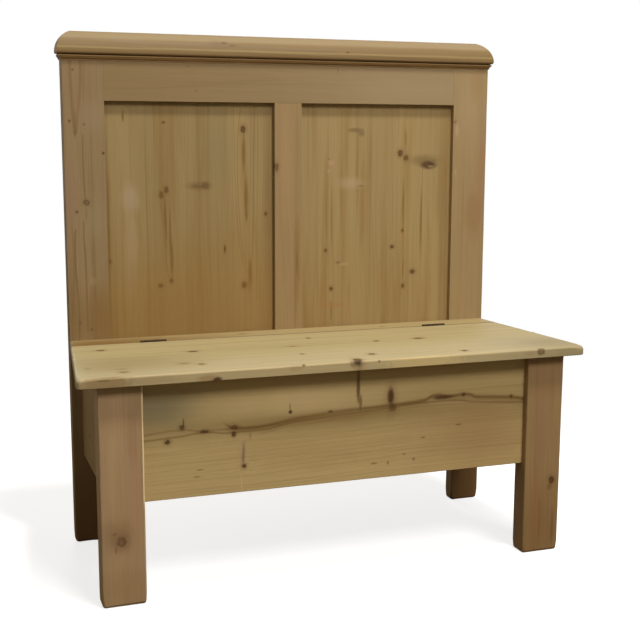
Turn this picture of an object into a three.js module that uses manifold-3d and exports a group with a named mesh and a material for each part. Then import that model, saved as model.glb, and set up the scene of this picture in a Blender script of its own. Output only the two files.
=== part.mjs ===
// Panelled pine settle bench: a frame-and-panel back with a mitred cornice, a storage box
// on square legs, and a seat lid that turns on two butt hinges.
// Millimetres. +Z up, +X to the sitter's left, -Y to the front.
// The parts are laid out from the front face of the back frame (Y = 0) and the floor (Z = 0);
// the outer group then puts the origin at the bottom centre of the whole bench.
import * as THREE from "three";
import { mergeVertices } from "three/addons/utils/BufferGeometryUtils.js";
import Module from "manifold-3d";

// Overall
const backWidth = 1000; // over the two stiles
const frameHeight = 1071; // floor to the top of the back frame
const seatHeight = 460; // floor to the top of the lid
const seatDepth = 403; // back frame to the lid's front edge
const lidSideOverhang = 41; // past each leg at the front edge; none at the stiles

// Back frame
const frameThickness = 32;
const stileWidth = 88;
const footWidth = 72; // back leg below the box
const footSlope = 16; // height of the taper from stile to back leg
const topRailHeight = 96;
const railDrop = 2; // bottom rail's top edge below the seat
const muntinWidth = 64;
const panelThickness = 9;
const panelGroove = 11;
const panelPlay = 1.5; // room for the panel to swell, at each edge
const tenonThickness = 11;
const tenonLength = 46;
const tenonShoulder = 14; // stops each tenon short of the rail's edges
const twinTenonGap = 48; // between the bottom rail's two tenons
const muntinTenon = 26;

// Cornice
const corniceHeight = 49;
const corniceOverhang = 10; // past the frame's face and ends
const ovoloRadius = 50; // the round face, which the flat top cuts off in an arris
const corniceNose = 3.5; // radius under the ovolo's widest line
const ovoloSegments = 14;
const noseSegments = 4;
const beadHeight = 12; // the small hollow moulding under the cornice
const beadReach = 6.5; // its top edge, from the frame's face
const beadFoot = 1.6; // the hollow's lower end, from the frame's face
const beadFillet = 2.4; // height of the flat above the hollow
const beadQuirk = 1.4; // height of the grooves above and below
const beadQuirkDepth = 2.5;
const beadGroove = 0.8; // thickness left behind the lower groove
const hollowEase = 2; // how shallow the hollow is
const hollowSegments = 6;

// Box
const boxBottom = 202; // floor to the underside of the aprons
const legWidth = 86;
const legDepth = 46;
const legSetback = 19; // lid's front edge to the legs' faces
const legArris = 3.5; // eased front edges of the legs
const footEase = 5; // eased end grain
const apronThickness = 20;
const apronRecess = 15; // behind the legs' faces
const sideInset = 23; // side aprons behind the legs' outer faces
const stubTenonLength = 14;
const stubTenonThickness = 9;
const stubTenonShoulder = 18;
const glueBlockLeg = 28;
const glueBlockStandoff = 3; // above the floor boards and below the bearer
const ledgerSection = 20;
const floorBoardCount = 6;
const floorBoardThickness = 12;
const floorBoardGap = 1;
const bearerHeight = 24;
const bearerThickness = 20;

// Seat
const lidThickness = 20;
const stripDepth = 63; // fixed rear strip, back frame to the hinge line
const seamGap = 2; // between the strip and the lid
const seamEase = 1.4; // eased top edges of the seam
const lidFrontBoardDepth = 188;
const lidCornerRadius = 13;
const lidArris = 4.5; // rounded top edge
const lidArrisSegments = 4;
const lidRest = 0.3; // lid and strip above the box
const battenWidth = 46;
const battenThickness = 18;
const battenCentre = 300; // from the middle of the lid
const battenSetback = 26; // behind the front apron and in front of the hinge line
const battenEndBevel = 9;

// Hinges: steel butts let into the board edges, with the knuckle up
const hingeLength = 57;
const hingeCentres = { left: 329, right: 340 }; // from the middle of the bench
const pinRise = 1; // pin above the seat's top face
const pinRadius = 1.2;
const pinPlay = 0.3;
const knuckleRadius = 3.1;
const knuckleCount = 5;
const knucklePlay = 0.3;
const leafThickness = 1.5;
const leafHeight = 17;
const leafPlay = 0.2; // half the space between the closed leaves
const leafScrewCount = 3;
const leafScrewPitch = 19;
const leafScrewDepth = 9.5; // below the pin
const leafScrewLength = 16;
const leafScrewHead = 2.9;
const leafScrewShank = 1.5;
const leafScrewHeadDepth = 1.3;

// Batten screws
const battenScrewPitch = 150;
const battenScrewLength = 31;
const battenScrewHead = 4.2;
const battenScrewShank = 2.1;
const battenScrewHeadDepth = 2.6;

// Making
const fit = 0.3; // glue line or clearance between pieces that touch
const mortiseDepthPlay = 2;
const overrun = 5; // how far a cutter passes the face it cuts
const roundSegments = 16;
const screwSegments = 10;
const quarter = Math.PI / 2;

// Places worked out from the sizes above
const half = backWidth / 2;
const lidFrontHalf = half + lidSideOverhang;
const stileInner = half - stileWidth;
const muntinHalf = muntinWidth / 2;
const topRailBottom = frameHeight - topRailHeight;
const bottomRailTop = seatHeight - railDrop;
const bottomRailHeight = bottomRailTop - boxBottom;
const grooveMiddle = frameThickness / 2;
const panelFront = grooveMiddle - panelThickness / 2;
const panelBack = grooveMiddle + panelThickness / 2;
const tenonFront = grooveMiddle - tenonThickness / 2;
const tenonBack = grooveMiddle + tenonThickness / 2;
const lidBottom = seatHeight - lidThickness;
const boxTop = lidBottom - lidRest;
const legFront = -seatDepth + legSetback;
const legBack = legFront + legDepth;
const legInner = half - legWidth;
const apronFront = legFront + apronRecess;
const apronBack = apronFront + apronThickness;
const sideOuter = half - sideInset;
const sideInner = sideOuter - apronThickness;
const floorBottom = boxBottom + ledgerSection + fit;
const floorTop = floorBottom + floorBoardThickness;
const bearerBottom = boxTop - bearerHeight;
const hingeY = -stripDepth;
const hingeZ = seatHeight + pinRise;
const stripFront = hingeY + seamGap / 2;
const lidRear = hingeY - seamGap / 2;
const lidJoint = -seatDepth + lidFrontBoardDepth;
const corniceBottom = frameHeight + fit;

const wasm = await Module();
wasm.setup();

// A closed BufferGeometry becomes a solid that can be joined and cut.
function solid(geometry) {
  const bare = geometry.index ? geometry.toNonIndexed() : geometry;
  bare.deleteAttribute("normal");
  bare.deleteAttribute("uv");
  const merged = mergeVertices(bare);
  return new wasm.Manifold(
    new wasm.Mesh({
      numProp: 3,
      vertProperties: Float32Array.from(merged.attributes.position.array),
      triVerts: Uint32Array.from(merged.index.array),
    }),
  );
}

// A box is written as its three ranges, so a piece and the hole for it share them.
function block({ x, y, z }) {
  const geometry = new THREE.BoxGeometry(x[1] - x[0], y[1] - y[0], z[1] - z[0]);
  geometry.translate((x[0] + x[1]) / 2, (y[0] + y[1]) / 2, (z[0] + z[1]) / 2);
  return solid(geometry);
}

// The same box, larger by a clearance, given for all sides or for each axis.
function roomFor(box, play = {}) {
  const { x = fit, y = fit, z = fit } = play;
  return block({
    x: [box.x[0] - x, box.x[1] + x],
    y: [box.y[0] - y, box.y[1] + y],
    z: [box.z[0] - z, box.z[1] + z],
  });
}

// Ranges are written for the right-hand side (sign 1) and mirrored for the left.
function onSide(sign, box) {
  return sign > 0 ? box : { ...box, x: [-box.x[1], -box.x[0]] };
}

function span(a, b) {
  return a < b ? [a, b] : [b, a];
}

// An outline in (X, Y), drawn up from z0 to z1.
function upright(points, z0, z1) {
  const geometry = new THREE.ExtrudeGeometry(polygon(points), { depth: z1 - z0, bevelEnabled: false });
  geometry.translate(0, 0, z0);
  return solid(geometry);
}

// Stands an extrusion's (u, v, length) axes on three axes of the bench.
function lay(geometry, u, v, along, origin) {
  const basis = new THREE.Matrix4().makeBasis(
    new THREE.Vector3(...u),
    new THREE.Vector3(...v),
    new THREE.Vector3(...along),
  );
  basis.setPosition(...origin);
  geometry.applyMatrix4(basis);
  return geometry;
}

// An outline in (Y, Z), drawn along X from x0 to x1.
function alongX(shape, x0, x1) {
  const geometry = new THREE.ExtrudeGeometry(shape, { depth: x1 - x0, bevelEnabled: false });
  return solid(lay(geometry, [0, 1, 0], [0, 0, 1], [1, 0, 0], [x0, 0, 0]));
}

// An outline in (X, Z), drawn back along Y from y0 to y1.
function alongY(shape, y0, y1) {
  const geometry = new THREE.ExtrudeGeometry(shape, { depth: y1 - y0, bevelEnabled: false });
  return solid(lay(geometry, [1, 0, 0], [0, 0, 1], [0, -1, 0], [0, y1, 0]));
}

function polygon(points) {
  return new THREE.Shape(points.map(([u, v]) => new THREE.Vector2(u, v)));
}

// A round bar along X.
function roundAlongX(radius, x0, x1, y, z) {
  const geometry = new THREE.CylinderGeometry(radius, radius, x1 - x0, roundSegments);
  geometry.rotateZ(quarter);
  geometry.translate((x0 + x1) / 2, y, z);
  return solid(geometry);
}

const woods = {
  leg: new THREE.MeshStandardMaterial({ color: 0x94795a, roughness: 0.7, metalness: 0 }),
  frame: new THREE.MeshStandardMaterial({ color: 0x9a7f58, roughness: 0.7, metalness: 0 }),
  panel: new THREE.MeshStandardMaterial({ color: 0x9c8150, roughness: 0.7, metalness: 0 }),
  box: new THREE.MeshStandardMaterial({ color: 0xa08a58, roughness: 0.7, metalness: 0 }),
  seat: new THREE.MeshStandardMaterial({ color: 0xb8a670, roughness: 0.65, metalness: 0 }),
  inside: new THREE.MeshStandardMaterial({ color: 0xa58a5f, roughness: 0.8, metalness: 0 }),
};
const steel = new THREE.MeshStandardMaterial({ color: 0x2f2a26, roughness: 0.5, metalness: 0.8 });
const screwSteel = new THREE.MeshStandardMaterial({ color: 0x6f675c, roughness: 0.45, metalness: 0.9 });

const layout = new THREE.Group();

function add(name, body, material) {
  const { vertProperties, triVerts, numProp } = body.getMesh();
  const geometry = new THREE.BufferGeometry();
  const positions = new Float32Array((vertProperties.length / numProp) * 3);
  for (let i = 0; i < positions.length / 3; i++) {
    positions.set(vertProperties.subarray(i * numProp, i * numProp + 3), i * 3);
  }
  geometry.setAttribute("position", new THREE.BufferAttribute(positions, 3));
  geometry.setIndex(new THREE.BufferAttribute(Uint32Array.from(triVerts), 1));
  geometry.computeVertexNormals();
  const mesh = new THREE.Mesh(geometry, material);
  mesh.name = name;
  layout.add(mesh);
}

const sides = [
  ["left", -1],
  ["right", 1],
];

// Joints of the back frame. Each tongue is a box for the right-hand side, shared by rail and stile;
// it starts a little inside the rail that carries it.
const tongueY = [tenonFront, tenonBack];
const shoulderX = stileInner - fit;
const tongueX = [shoulderX - overrun, stileInner + tenonLength];
const topTongue = {
  x: tongueX,
  y: tongueY,
  z: [topRailBottom + tenonShoulder, frameHeight - tenonShoulder],
};
const twinMiddle = (boxBottom + bottomRailTop) / 2;
const lowerTongue = {
  x: tongueX,
  y: tongueY,
  z: [boxBottom + tenonShoulder, twinMiddle - twinTenonGap / 2],
};
const upperTongue = {
  x: tongueX,
  y: tongueY,
  z: [twinMiddle + twinTenonGap / 2, bottomRailTop - tenonShoulder],
};
const frameTongues = [topTongue, lowerTongue, upperTongue];
const muntinTongueX = [-muntinHalf + tenonShoulder, muntinHalf - tenonShoulder];
const muntinTongues = [
  { x: muntinTongueX, y: tongueY, z: [bottomRailTop - muntinTenon, bottomRailTop + overrun] },
  { x: muntinTongueX, y: tongueY, z: [topRailBottom - overrun, topRailBottom + muntinTenon] },
];

// Joints of the box: stub tongues on the aprons.
const stubZ = [boxBottom + stubTenonShoulder, boxTop - stubTenonShoulder];
const frontStubMiddle = (apronFront + apronBack) / 2;
const frontStub = {
  x: [legInner - overrun, legInner + stubTenonLength],
  y: [frontStubMiddle - stubTenonThickness / 2, frontStubMiddle + stubTenonThickness / 2],
  z: stubZ,
};
const sideStubMiddle = (sideOuter + sideInner) / 2;
const sideStubX = [sideStubMiddle - stubTenonThickness / 2, sideStubMiddle + stubTenonThickness / 2];
const sideStubs = [
  { x: sideStubX, y: [legBack - stubTenonLength, legBack + overrun], z: stubZ },
  { x: sideStubX, y: [-overrun, stubTenonLength], z: stubZ },
];

function cutForAll(body, boxes, sign, play) {
  return boxes.reduce((rest, box) => rest.subtract(roomFor(onSide(sign, box), play)), body);
}

// The grooves that hold the panel edges. A stile's groove stops where the rails' grooves do.
const grooveY = [panelFront - fit, panelBack + fit];
const stileGroove = {
  x: [stileInner - overrun, stileInner + panelGroove],
  y: grooveY,
  z: [bottomRailTop - panelGroove, topRailBottom + panelGroove],
};

function buildBackFrame() {
  for (const [side, sign] of sides) {
    const outline = polygon(
      [
        [half, 0],
        [half, frameHeight],
        [stileInner, frameHeight],
        [stileInner, boxBottom],
        [half - footWidth, boxBottom - footSlope],
        [half - footWidth, 0],
      ].map(([x, z]) => [sign * x, z]),
    );
    let stile = alongY(outline, 0, frameThickness);
    stile = stile.subtract(block(onSide(sign, stileGroove)));
    stile = cutForAll(stile, frameTongues, sign, { x: mortiseDepthPlay });
    stile = cutForAll(stile, [sideStubs[1]], sign, { y: mortiseDepthPlay });
    add(`back_stile_${side}`, stile, woods.frame);
  }

  let topRail = block({ x: [-shoulderX, shoulderX], y: [0, frameThickness], z: [topRailBottom, frameHeight] });
  let bottomRail = block({ x: [-shoulderX, shoulderX], y: [0, frameThickness], z: [boxBottom, bottomRailTop] });
  for (const [, sign] of sides) {
    topRail = topRail.add(block(onSide(sign, topTongue)));
    bottomRail = bottomRail.add(block(onSide(sign, lowerTongue))).add(block(onSide(sign, upperTongue)));
  }
  const railRun = [-shoulderX - overrun, shoulderX + overrun];
  topRail = topRail.subtract(
    block({ x: railRun, y: grooveY, z: [topRailBottom - overrun, topRailBottom + panelGroove] }),
  );
  bottomRail = bottomRail.subtract(
    block({ x: railRun, y: grooveY, z: [bottomRailTop - panelGroove, bottomRailTop + overrun] }),
  );
  bottomRail = cutForAll(bottomRail, [muntinTongues[0]], 1, { z: mortiseDepthPlay });
  topRail = cutForAll(topRail, [muntinTongues[1]], 1, { z: mortiseDepthPlay });
  add("back_top_rail", topRail, woods.frame);
  add("back_bottom_rail", bottomRail, woods.frame);

  let muntin = block({
    x: [-muntinHalf, muntinHalf],
    y: [0, frameThickness],
    z: [bottomRailTop + fit, topRailBottom - fit],
  });
  for (const tongue of muntinTongues) muntin = muntin.add(block(tongue));
  for (const [, sign] of sides) {
    const groove = { x: [muntinHalf - panelGroove, muntinHalf + overrun], y: grooveY, z: [0, frameHeight] };
    muntin = muntin.subtract(block(onSide(sign, groove)));
  }
  add("back_muntin", muntin, woods.frame);

  const reach = panelGroove - panelPlay;
  for (const [side, sign] of sides) {
    const panel = {
      x: [muntinHalf - reach, stileInner + reach],
      y: [panelFront, panelBack],
      z: [bottomRailTop - reach, topRailBottom + reach],
    };
    add(`back_panel_${side}`, block(onSide(sign, panel)), woods.panel);
  }
}

// Sections of the mouldings: u runs back from the frame's face, v is the height.
function corniceSection() {
  const nose = -corniceOverhang;
  const shape = new THREE.Shape();
  shape.moveTo(frameThickness, corniceBottom);
  shape.lineTo(frameThickness, corniceBottom + corniceHeight);
  const arrisTurn = Math.asin((corniceHeight - corniceNose) / ovoloRadius);
  for (let i = 0; i <= ovoloSegments; i++) {
    const turn = arrisTurn * (1 - i / ovoloSegments);
    shape.lineTo(
      nose + ovoloRadius * (1 - Math.cos(turn)),
      corniceBottom + corniceNose + ovoloRadius * Math.sin(turn),
    );
  }
  for (let i = 1; i <= noseSegments; i++) {
    const turn = (quarter * i) / noseSegments;
    shape.lineTo(
      nose + corniceNose * (1 - Math.cos(turn)),
      corniceBottom + corniceNose * (1 - Math.sin(turn)),
    );
  }
  return shape;
}

function beadSection() {
  const bottom = frameHeight - beadHeight;
  const edge = frameHeight - beadQuirk;
  const upper = new THREE.Vector2(-beadReach, edge - beadFillet);
  const lower = new THREE.Vector2(-beadFoot, bottom + beadQuirk);
  const control = new THREE.Vector2(lower.x - hollowEase, upper.y - hollowEase);
  const hollow = new THREE.QuadraticBezierCurve(upper, control, lower);
  return new THREE.Shape([
    new THREE.Vector2(-fit, bottom),
    new THREE.Vector2(-fit, frameHeight),
    new THREE.Vector2(-beadReach + beadQuirkDepth, frameHeight),
    new THREE.Vector2(-beadReach + beadQuirkDepth, edge),
    new THREE.Vector2(-beadReach, edge),
    ...hollow.getPoints(hollowSegments),
    new THREE.Vector2(-fit - beadGroove, lower.y),
    new THREE.Vector2(-fit - beadGroove, bottom),
  ]);
}

// Everything past the 45-degree mitre at one end, moved along the bench by a shift.
function mitreRegion(sign, shift) {
  const reach = half + overrun;
  const points = [
    [half + shift - reach, -reach],
    [half + shift + reach, reach],
    [half + shift + 3 * reach, reach],
    [half + shift + 3 * reach, -reach],
  ];
  const around = points.map(([x, y]) => [sign * x, -y]);
  return upright(around, 0, 2 * (frameHeight + corniceHeight));
}

// One moulding along the front, with a short mitred return glued on at each end.
function buildMoulding(name, section, projection) {
  let front = alongX(section, -half - projection, half + projection);
  for (const [side, sign] of sides) {
    front = front.subtract(mitreRegion(sign, -fit / 2));
    const length = frameThickness + projection;
    const geometry = new THREE.ExtrudeGeometry(section, { depth: length, bevelEnabled: false });
    const along = [0, sign, 0];
    const start = sign > 0 ? -projection : frameThickness;
    const bar = solid(lay(geometry, [-sign, 0, 0], [0, 0, 1], along, [sign * half, start, 0]));
    add(`${name}_return_${side}`, bar.intersect(mitreRegion(sign, fit / 2)), woods.frame);
  }
  add(`${name}_front`, front, woods.frame);
}

function buildFrontLegs() {
  for (const [side, sign] of sides) {
    const shape = polygon(
      [
        [half, legBack],
        [half, legFront + legArris],
        [half - legArris, legFront],
        [legInner + legArris, legFront],
        [legInner, legFront + legArris],
        [legInner, legBack],
      ].map(([x, y]) => [sign * x, y]),
    );
    const geometry = new THREE.ExtrudeGeometry(shape, {
      depth: boxTop, // the upper bevel is cut off again, so the top is square
      bevelThickness: footEase,
      bevelSize: footEase,
      bevelOffset: -footEase,
      bevelSegments: 1,
    });
    geometry.translate(0, 0, footEase);
    let leg = solid(geometry).trimByPlane([0, 0, -1], -boxTop);
    leg = cutForAll(leg, [frontStub], sign, { x: mortiseDepthPlay });
    leg = cutForAll(leg, [sideStubs[0]], sign, { y: mortiseDepthPlay });
    add(`front_leg_${side}`, leg, woods.leg);
  }
}

function buildAprons() {
  const apronX = legInner - fit;
  let front = block({ x: [-apronX, apronX], y: [apronFront, apronBack], z: [boxBottom, boxTop] });
  for (const [, sign] of sides) front = front.add(block(onSide(sign, frontStub)));
  add("front_apron", front, woods.box);

  for (const [side, sign] of sides) {
    const board = { x: [sideInner, sideOuter], y: [legBack + fit, -fit], z: [boxBottom, boxTop] };
    let apron = block(onSide(sign, board));
    for (const stub of sideStubs) apron = apron.add(block(onSide(sign, stub)));
    add(`side_apron_${side}`, apron, woods.box);
  }
}

function buildBoxInside() {
  const blockTop = bearerBottom - glueBlockStandoff;
  const blockBottom = floorTop + glueBlockStandoff;
  const corners = [
    ["front", legBack + fit, 1],
    ["rear", -fit, -1],
  ];
  for (const [place, wallY, inward] of corners) {
    for (const [side, sign] of sides) {
      const cornerX = sideInner - fit;
      const points = [
        [sign * cornerX, wallY],
        [sign * (cornerX - glueBlockLeg), wallY],
        [sign * cornerX, wallY + inward * glueBlockLeg],
      ];
      add(`glue_block_${place}_${side}`, upright(points, blockBottom, blockTop), woods.inside);
    }
  }

  const ledgerZ = [boxBottom, boxBottom + ledgerSection];
  const frontLedgerX = legInner - fit;
  const rearLedgerX = sideInner - fit;
  const frontLedgerY = [apronBack + fit, apronBack + fit + ledgerSection];
  const rearLedgerY = [-fit - ledgerSection, -fit];
  add("floor_ledger_front", block({ x: [-frontLedgerX, frontLedgerX], y: frontLedgerY, z: ledgerZ }), woods.inside);
  add("floor_ledger_rear", block({ x: [-rearLedgerX, rearLedgerX], y: rearLedgerY, z: ledgerZ }), woods.inside);

  // Boards run front to back on the two ledgers.
  const floorHalf = sideInner - fit;
  const pitch = (2 * floorHalf + floorBoardGap) / floorBoardCount;
  for (let i = 0; i < floorBoardCount; i++) {
    const x0 = -floorHalf + i * pitch;
    const behindLeg = i === 0 || i === floorBoardCount - 1;
    const boardFront = (behindLeg ? legBack : apronBack) + fit;
    const board = { x: [x0, x0 + pitch - floorBoardGap], y: [boardFront, -fit], z: [floorBottom, floorTop] };
    add(`floor_board_${i + 1}`, block(board), woods.inside);
  }

  const bearerX = sideInner - fit;
  const bearer = { x: [-bearerX, bearerX], y: [-fit - bearerThickness, -fit], z: [bearerBottom, boxTop] };
  add("seat_bearer", block(bearer), woods.inside);
}

// A wood screw with its head at the origin, pointing down -Z. Play makes the hole for it.
function screw(length, headRadius, shankRadius, headDepth, play = 0) {
  const tip = shankRadius; // the point is as long as the shank is thick
  const profile = [
    [0, -length - play],
    [shankRadius + play, -length + tip - play],
    [shankRadius + play, -headDepth - play],
    [headRadius + play, 0],
    [headRadius + play, play],
    [0, play],
  ].map(([r, z]) => new THREE.Vector2(r, z));
  if (play === 0) profile.splice(4, 1); // a flat head has no rim
  const geometry = new THREE.LatheGeometry(profile, screwSegments);
  geometry.rotateX(quarter);
  return geometry;
}

const leafScrewSizes = [leafScrewLength, leafScrewHead, leafScrewShank, leafScrewHeadDepth];
const battenScrewSizes = [battenScrewLength, battenScrewHead, battenScrewShank, battenScrewHeadDepth];

// Leaf screws go through a leaf into a board edge: forwards into the lid, backwards into the strip.
function leafScrewPlaces(centre, facing) {
  const face = hingeY + facing * leafPlay;
  const middle = (leafScrewCount - 1) / 2;
  return Array.from({ length: leafScrewCount }, (_, i) => [
    centre + (i - middle) * leafScrewPitch,
    face,
    hingeZ - leafScrewDepth,
  ]);
}

function leafScrew(place, facing, play) {
  const geometry = screw(...leafScrewSizes, play);
  geometry.rotateX(facing * quarter);
  geometry.translate(...place);
  return solid(geometry);
}

function battenScrewPlaces(sign) {
  const middle = (battenY[0] + battenY[1]) / 2;
  return [-1, 1].map((end) => [sign * battenCentre, middle + (end * battenScrewPitch) / 2, battenBottom]);
}

function battenScrew(place, play) {
  const geometry = screw(...battenScrewSizes, play);
  geometry.rotateX(2 * quarter);
  geometry.translate(...place);
  return solid(geometry);
}

const battenY = [apronBack + battenSetback, lidRear - battenSetback];
const battenTop = lidBottom - fit;
const battenBottom = battenTop - battenThickness;
const hinges = sides.map(([side, sign]) => ({ side, centre: sign * hingeCentres[side] }));

// The plan of the whole seat, strip and lid together, with rounded front corners. It runs on past
// the back frame, where the strip is cut off square.
function seatPlan() {
  const front = lidFrontHalf;
  const flare = (front - half) / seatDepth;
  const behind = 2 * lidArris;
  const rear = half - flare * behind;
  const shape = new THREE.Shape();
  shape.moveTo(-rear, behind);
  shape.lineTo(-front + flare * lidCornerRadius, -seatDepth + lidCornerRadius);
  shape.quadraticCurveTo(-front, -seatDepth, -front + lidCornerRadius, -seatDepth);
  shape.lineTo(front - lidCornerRadius, -seatDepth);
  shape.quadraticCurveTo(front, -seatDepth, front - flare * lidCornerRadius, -seatDepth + lidCornerRadius);
  shape.lineTo(rear, behind);
  return shape;
}

function seatSlab() {
  const geometry = new THREE.ExtrudeGeometry(seatPlan(), {
    depth: lidThickness, // the lower bevel is cut off again, so only the top edge is rounded
    bevelThickness: lidArris,
    bevelSize: lidArris,
    bevelOffset: -lidArris,
    bevelSegments: lidArrisSegments,
    curveSegments: 5,
  });
  geometry.translate(0, 0, lidBottom - lidArris);
  const ease = seamGap / 2 + seamEase;
  const reach = lidFrontHalf + overrun;
  const seam = polygon([
    [hingeY - ease, seatHeight],
    [hingeY, seatHeight - ease],
    [hingeY + ease, seatHeight],
    [hingeY, seatHeight + ease],
  ]);
  return solid(geometry).trimByPlane([0, 0, 1], lidBottom).subtract(alongX(seam, -reach, reach));
}

// The part of the seat between two depths.
function seatBetween(slab, y0, y1) {
  const reach = lidFrontHalf + overrun;
  return slab.intersect(block({ x: [-reach, reach], y: [y0, y1], z: [0, frameHeight] }));
}

// The knuckle and the leaf are let into each board edge along the hinge.
function hingeGain(body, facing) {
  return hinges.reduce((rest, { centre }) => {
    const x = [centre - hingeLength / 2 - fit, centre + hingeLength / 2 + fit];
    const leaf = {
      x,
      y: span(hingeY, hingeY + facing * (leafPlay + leafThickness + fit)),
      z: [hingeZ - leafHeight - fit, hingeZ + overrun],
    };
    const knuckle = roundAlongX(knuckleRadius + knucklePlay, x[0], x[1], hingeY, hingeZ);
    let cut = rest.subtract(block(leaf)).subtract(knuckle);
    for (const place of leafScrewPlaces(centre, facing)) cut = cut.subtract(leafScrew(place, facing, fit));
    return cut;
  }, body);
}

function buildSeat() {
  const slab = seatSlab();
  const strip = seatBetween(slab, stripFront, -fit);
  add("seat_strip", hingeGain(strip, 1), woods.seat);

  let rearBoard = hingeGain(seatBetween(slab, lidJoint + fit / 2, lidRear), -1);
  let frontBoard = seatBetween(slab, -2 * seatDepth, lidJoint - fit / 2);
  for (const [side, sign] of sides) {
    const x = [sign * battenCentre - battenWidth / 2, sign * battenCentre + battenWidth / 2];
    const section = polygon([
      [battenY[0], battenTop],
      [battenY[0] + battenEndBevel, battenBottom],
      [battenY[1] - battenEndBevel, battenBottom],
      [battenY[1], battenTop],
    ]);
    let batten = alongX(section, ...x);
    battenScrewPlaces(sign).forEach((place, i) => {
      const hole = battenScrew(place, fit);
      batten = batten.subtract(hole);
      rearBoard = rearBoard.subtract(hole);
      frontBoard = frontBoard.subtract(hole);
      add(`batten_screw_${side}_${i + 1}`, battenScrew(place, 0), screwSteel);
    });
    add(`lid_batten_${side}`, batten, woods.inside);
  }
  add("lid_board_front", frontBoard, woods.seat);
  add("lid_board_rear", rearBoard, woods.seat);
}

function buildHinges() {
  const knuckleLength = (hingeLength + knucklePlay) / knuckleCount - knucklePlay;
  for (const { side, centre } of hinges) {
    const start = centre - hingeLength / 2;
    const leaves = [
      { name: `hinge_${side}_fixed_leaf`, facing: 1, own: 0 },
      { name: `hinge_${side}_lid_leaf`, facing: -1, own: 1 },
    ];
    for (const { name, facing, own } of leaves) {
      let leaf = block({
        x: [start, start + hingeLength],
        y: span(hingeY + facing * leafPlay, hingeY + facing * (leafPlay + leafThickness)),
        z: [hingeZ - leafHeight, hingeZ],
      });
      for (let i = 0; i < knuckleCount; i++) {
        const x0 = start + i * (knuckleLength + knucklePlay);
        const x1 = x0 + knuckleLength;
        const mine = i % 2 === own;
        if (mine) leaf = leaf.add(roundAlongX(knuckleRadius, x0, x1, hingeY, hingeZ));
        else {
          const room = roundAlongX(knuckleRadius + knucklePlay, x0 - knucklePlay, x1 + knucklePlay, hingeY, hingeZ);
          leaf = leaf.subtract(room);
        }
      }
      leaf = leaf.subtract(
        roundAlongX(pinRadius + pinPlay, start - overrun, start + hingeLength + overrun, hingeY, hingeZ),
      );
      leafScrewPlaces(centre, facing).forEach((place, i) => {
        leaf = leaf.subtract(leafScrew(place, facing, fit));
        add(`${name}_screw_${i + 1}`, leafScrew(place, facing, 0), screwSteel);
      });
      add(name, leaf, steel);
    }
    const pin = roundAlongX(pinRadius, start, start + hingeLength, hingeY, hingeZ);
    add(`hinge_${side}_pin`, pin, steel);
  }
}

buildBackFrame();
buildMoulding("cornice", corniceSection(), corniceOverhang);
buildMoulding("bead", beadSection(), beadReach);
buildFrontLegs();
buildAprons();
buildBoxInside();
buildSeat();
buildHinges();

// The origin is the middle of the bench's depth: lid edge in front, back frame behind.
const group = new THREE.Group();
layout.position.y = (seatDepth - frameThickness) / 2;
group.add(layout);

export default group;
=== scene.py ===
"""Looks of the pine settle bench: worn boards, knotty grain, a mitred cornice and rusty butt hinges."""

import math

import bmesh
import bpy
from mathutils import Matrix, Vector, noise


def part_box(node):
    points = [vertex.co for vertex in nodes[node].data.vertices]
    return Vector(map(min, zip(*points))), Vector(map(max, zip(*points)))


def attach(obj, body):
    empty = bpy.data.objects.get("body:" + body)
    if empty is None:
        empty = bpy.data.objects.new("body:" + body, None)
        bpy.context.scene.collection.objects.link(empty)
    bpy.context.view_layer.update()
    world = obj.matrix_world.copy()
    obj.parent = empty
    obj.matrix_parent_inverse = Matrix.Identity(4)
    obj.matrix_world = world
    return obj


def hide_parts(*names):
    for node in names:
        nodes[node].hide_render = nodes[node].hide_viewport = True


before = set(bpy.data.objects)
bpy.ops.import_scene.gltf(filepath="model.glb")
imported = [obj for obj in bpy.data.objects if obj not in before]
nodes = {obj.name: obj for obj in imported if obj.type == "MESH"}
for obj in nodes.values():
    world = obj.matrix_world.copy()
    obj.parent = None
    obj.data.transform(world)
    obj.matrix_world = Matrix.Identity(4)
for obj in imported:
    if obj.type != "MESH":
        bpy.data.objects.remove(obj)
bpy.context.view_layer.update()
MM = 0.001
SIDES = (("left", -1), ("right", 1))

# Camera: where the photograph was taken from, in the bench's own frame
LENS = 64.1
SENSOR = 36.0
PHOTO = 640
CAMERA_PLACE = Vector((-0.803, -2.296, 0.910))
CAMERA_PITCH = math.radians(-9.34)
CAMERA_ROLL = math.radians(-0.21)
CAMERA_YAW = math.radians(-19.54)
camera_turn = (
    Matrix.Rotation(CAMERA_YAW, 3, "Z")
    @ Matrix.Rotation(CAMERA_PITCH, 3, "X")
    @ Matrix.Rotation(CAMERA_ROLL, 3, "Y")
)


def new_object(name, data):
    made = bpy.data.objects.new(name, data)
    bpy.context.scene.collection.objects.link(made)
    return made


def make_camera():
    data = bpy.data.cameras.new("camera")
    data.lens = LENS
    data.sensor_width = SENSOR
    camera = new_object("camera", data)
    turn = camera_turn @ Matrix.Rotation(math.pi / 2, 3, "X")
    camera.matrix_world = Matrix.Translation(CAMERA_PLACE) @ turn.to_4x4()
    bpy.context.scene.camera = camera


def seen_at(px, py, axis, level):
    """The point of the bench that a pixel shows, on the plane where one coordinate has a given value."""
    focal = LENS / SENSOR * PHOTO
    ray = camera_turn @ Vector(((px - PHOTO / 2) / focal, 1, (PHOTO / 2 - py) / focal))
    index = "xyz".index(axis)
    return CAMERA_PLACE + ray * ((level - CAMERA_PLACE[index]) / ray[index])


make_camera()


# Shader maths as expressions
def maths(operation, from_right=False):
    def method(field, *others):
        return field.paint.math(operation, *((*others, field) if from_right else (field, *others)))

    return method


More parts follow.
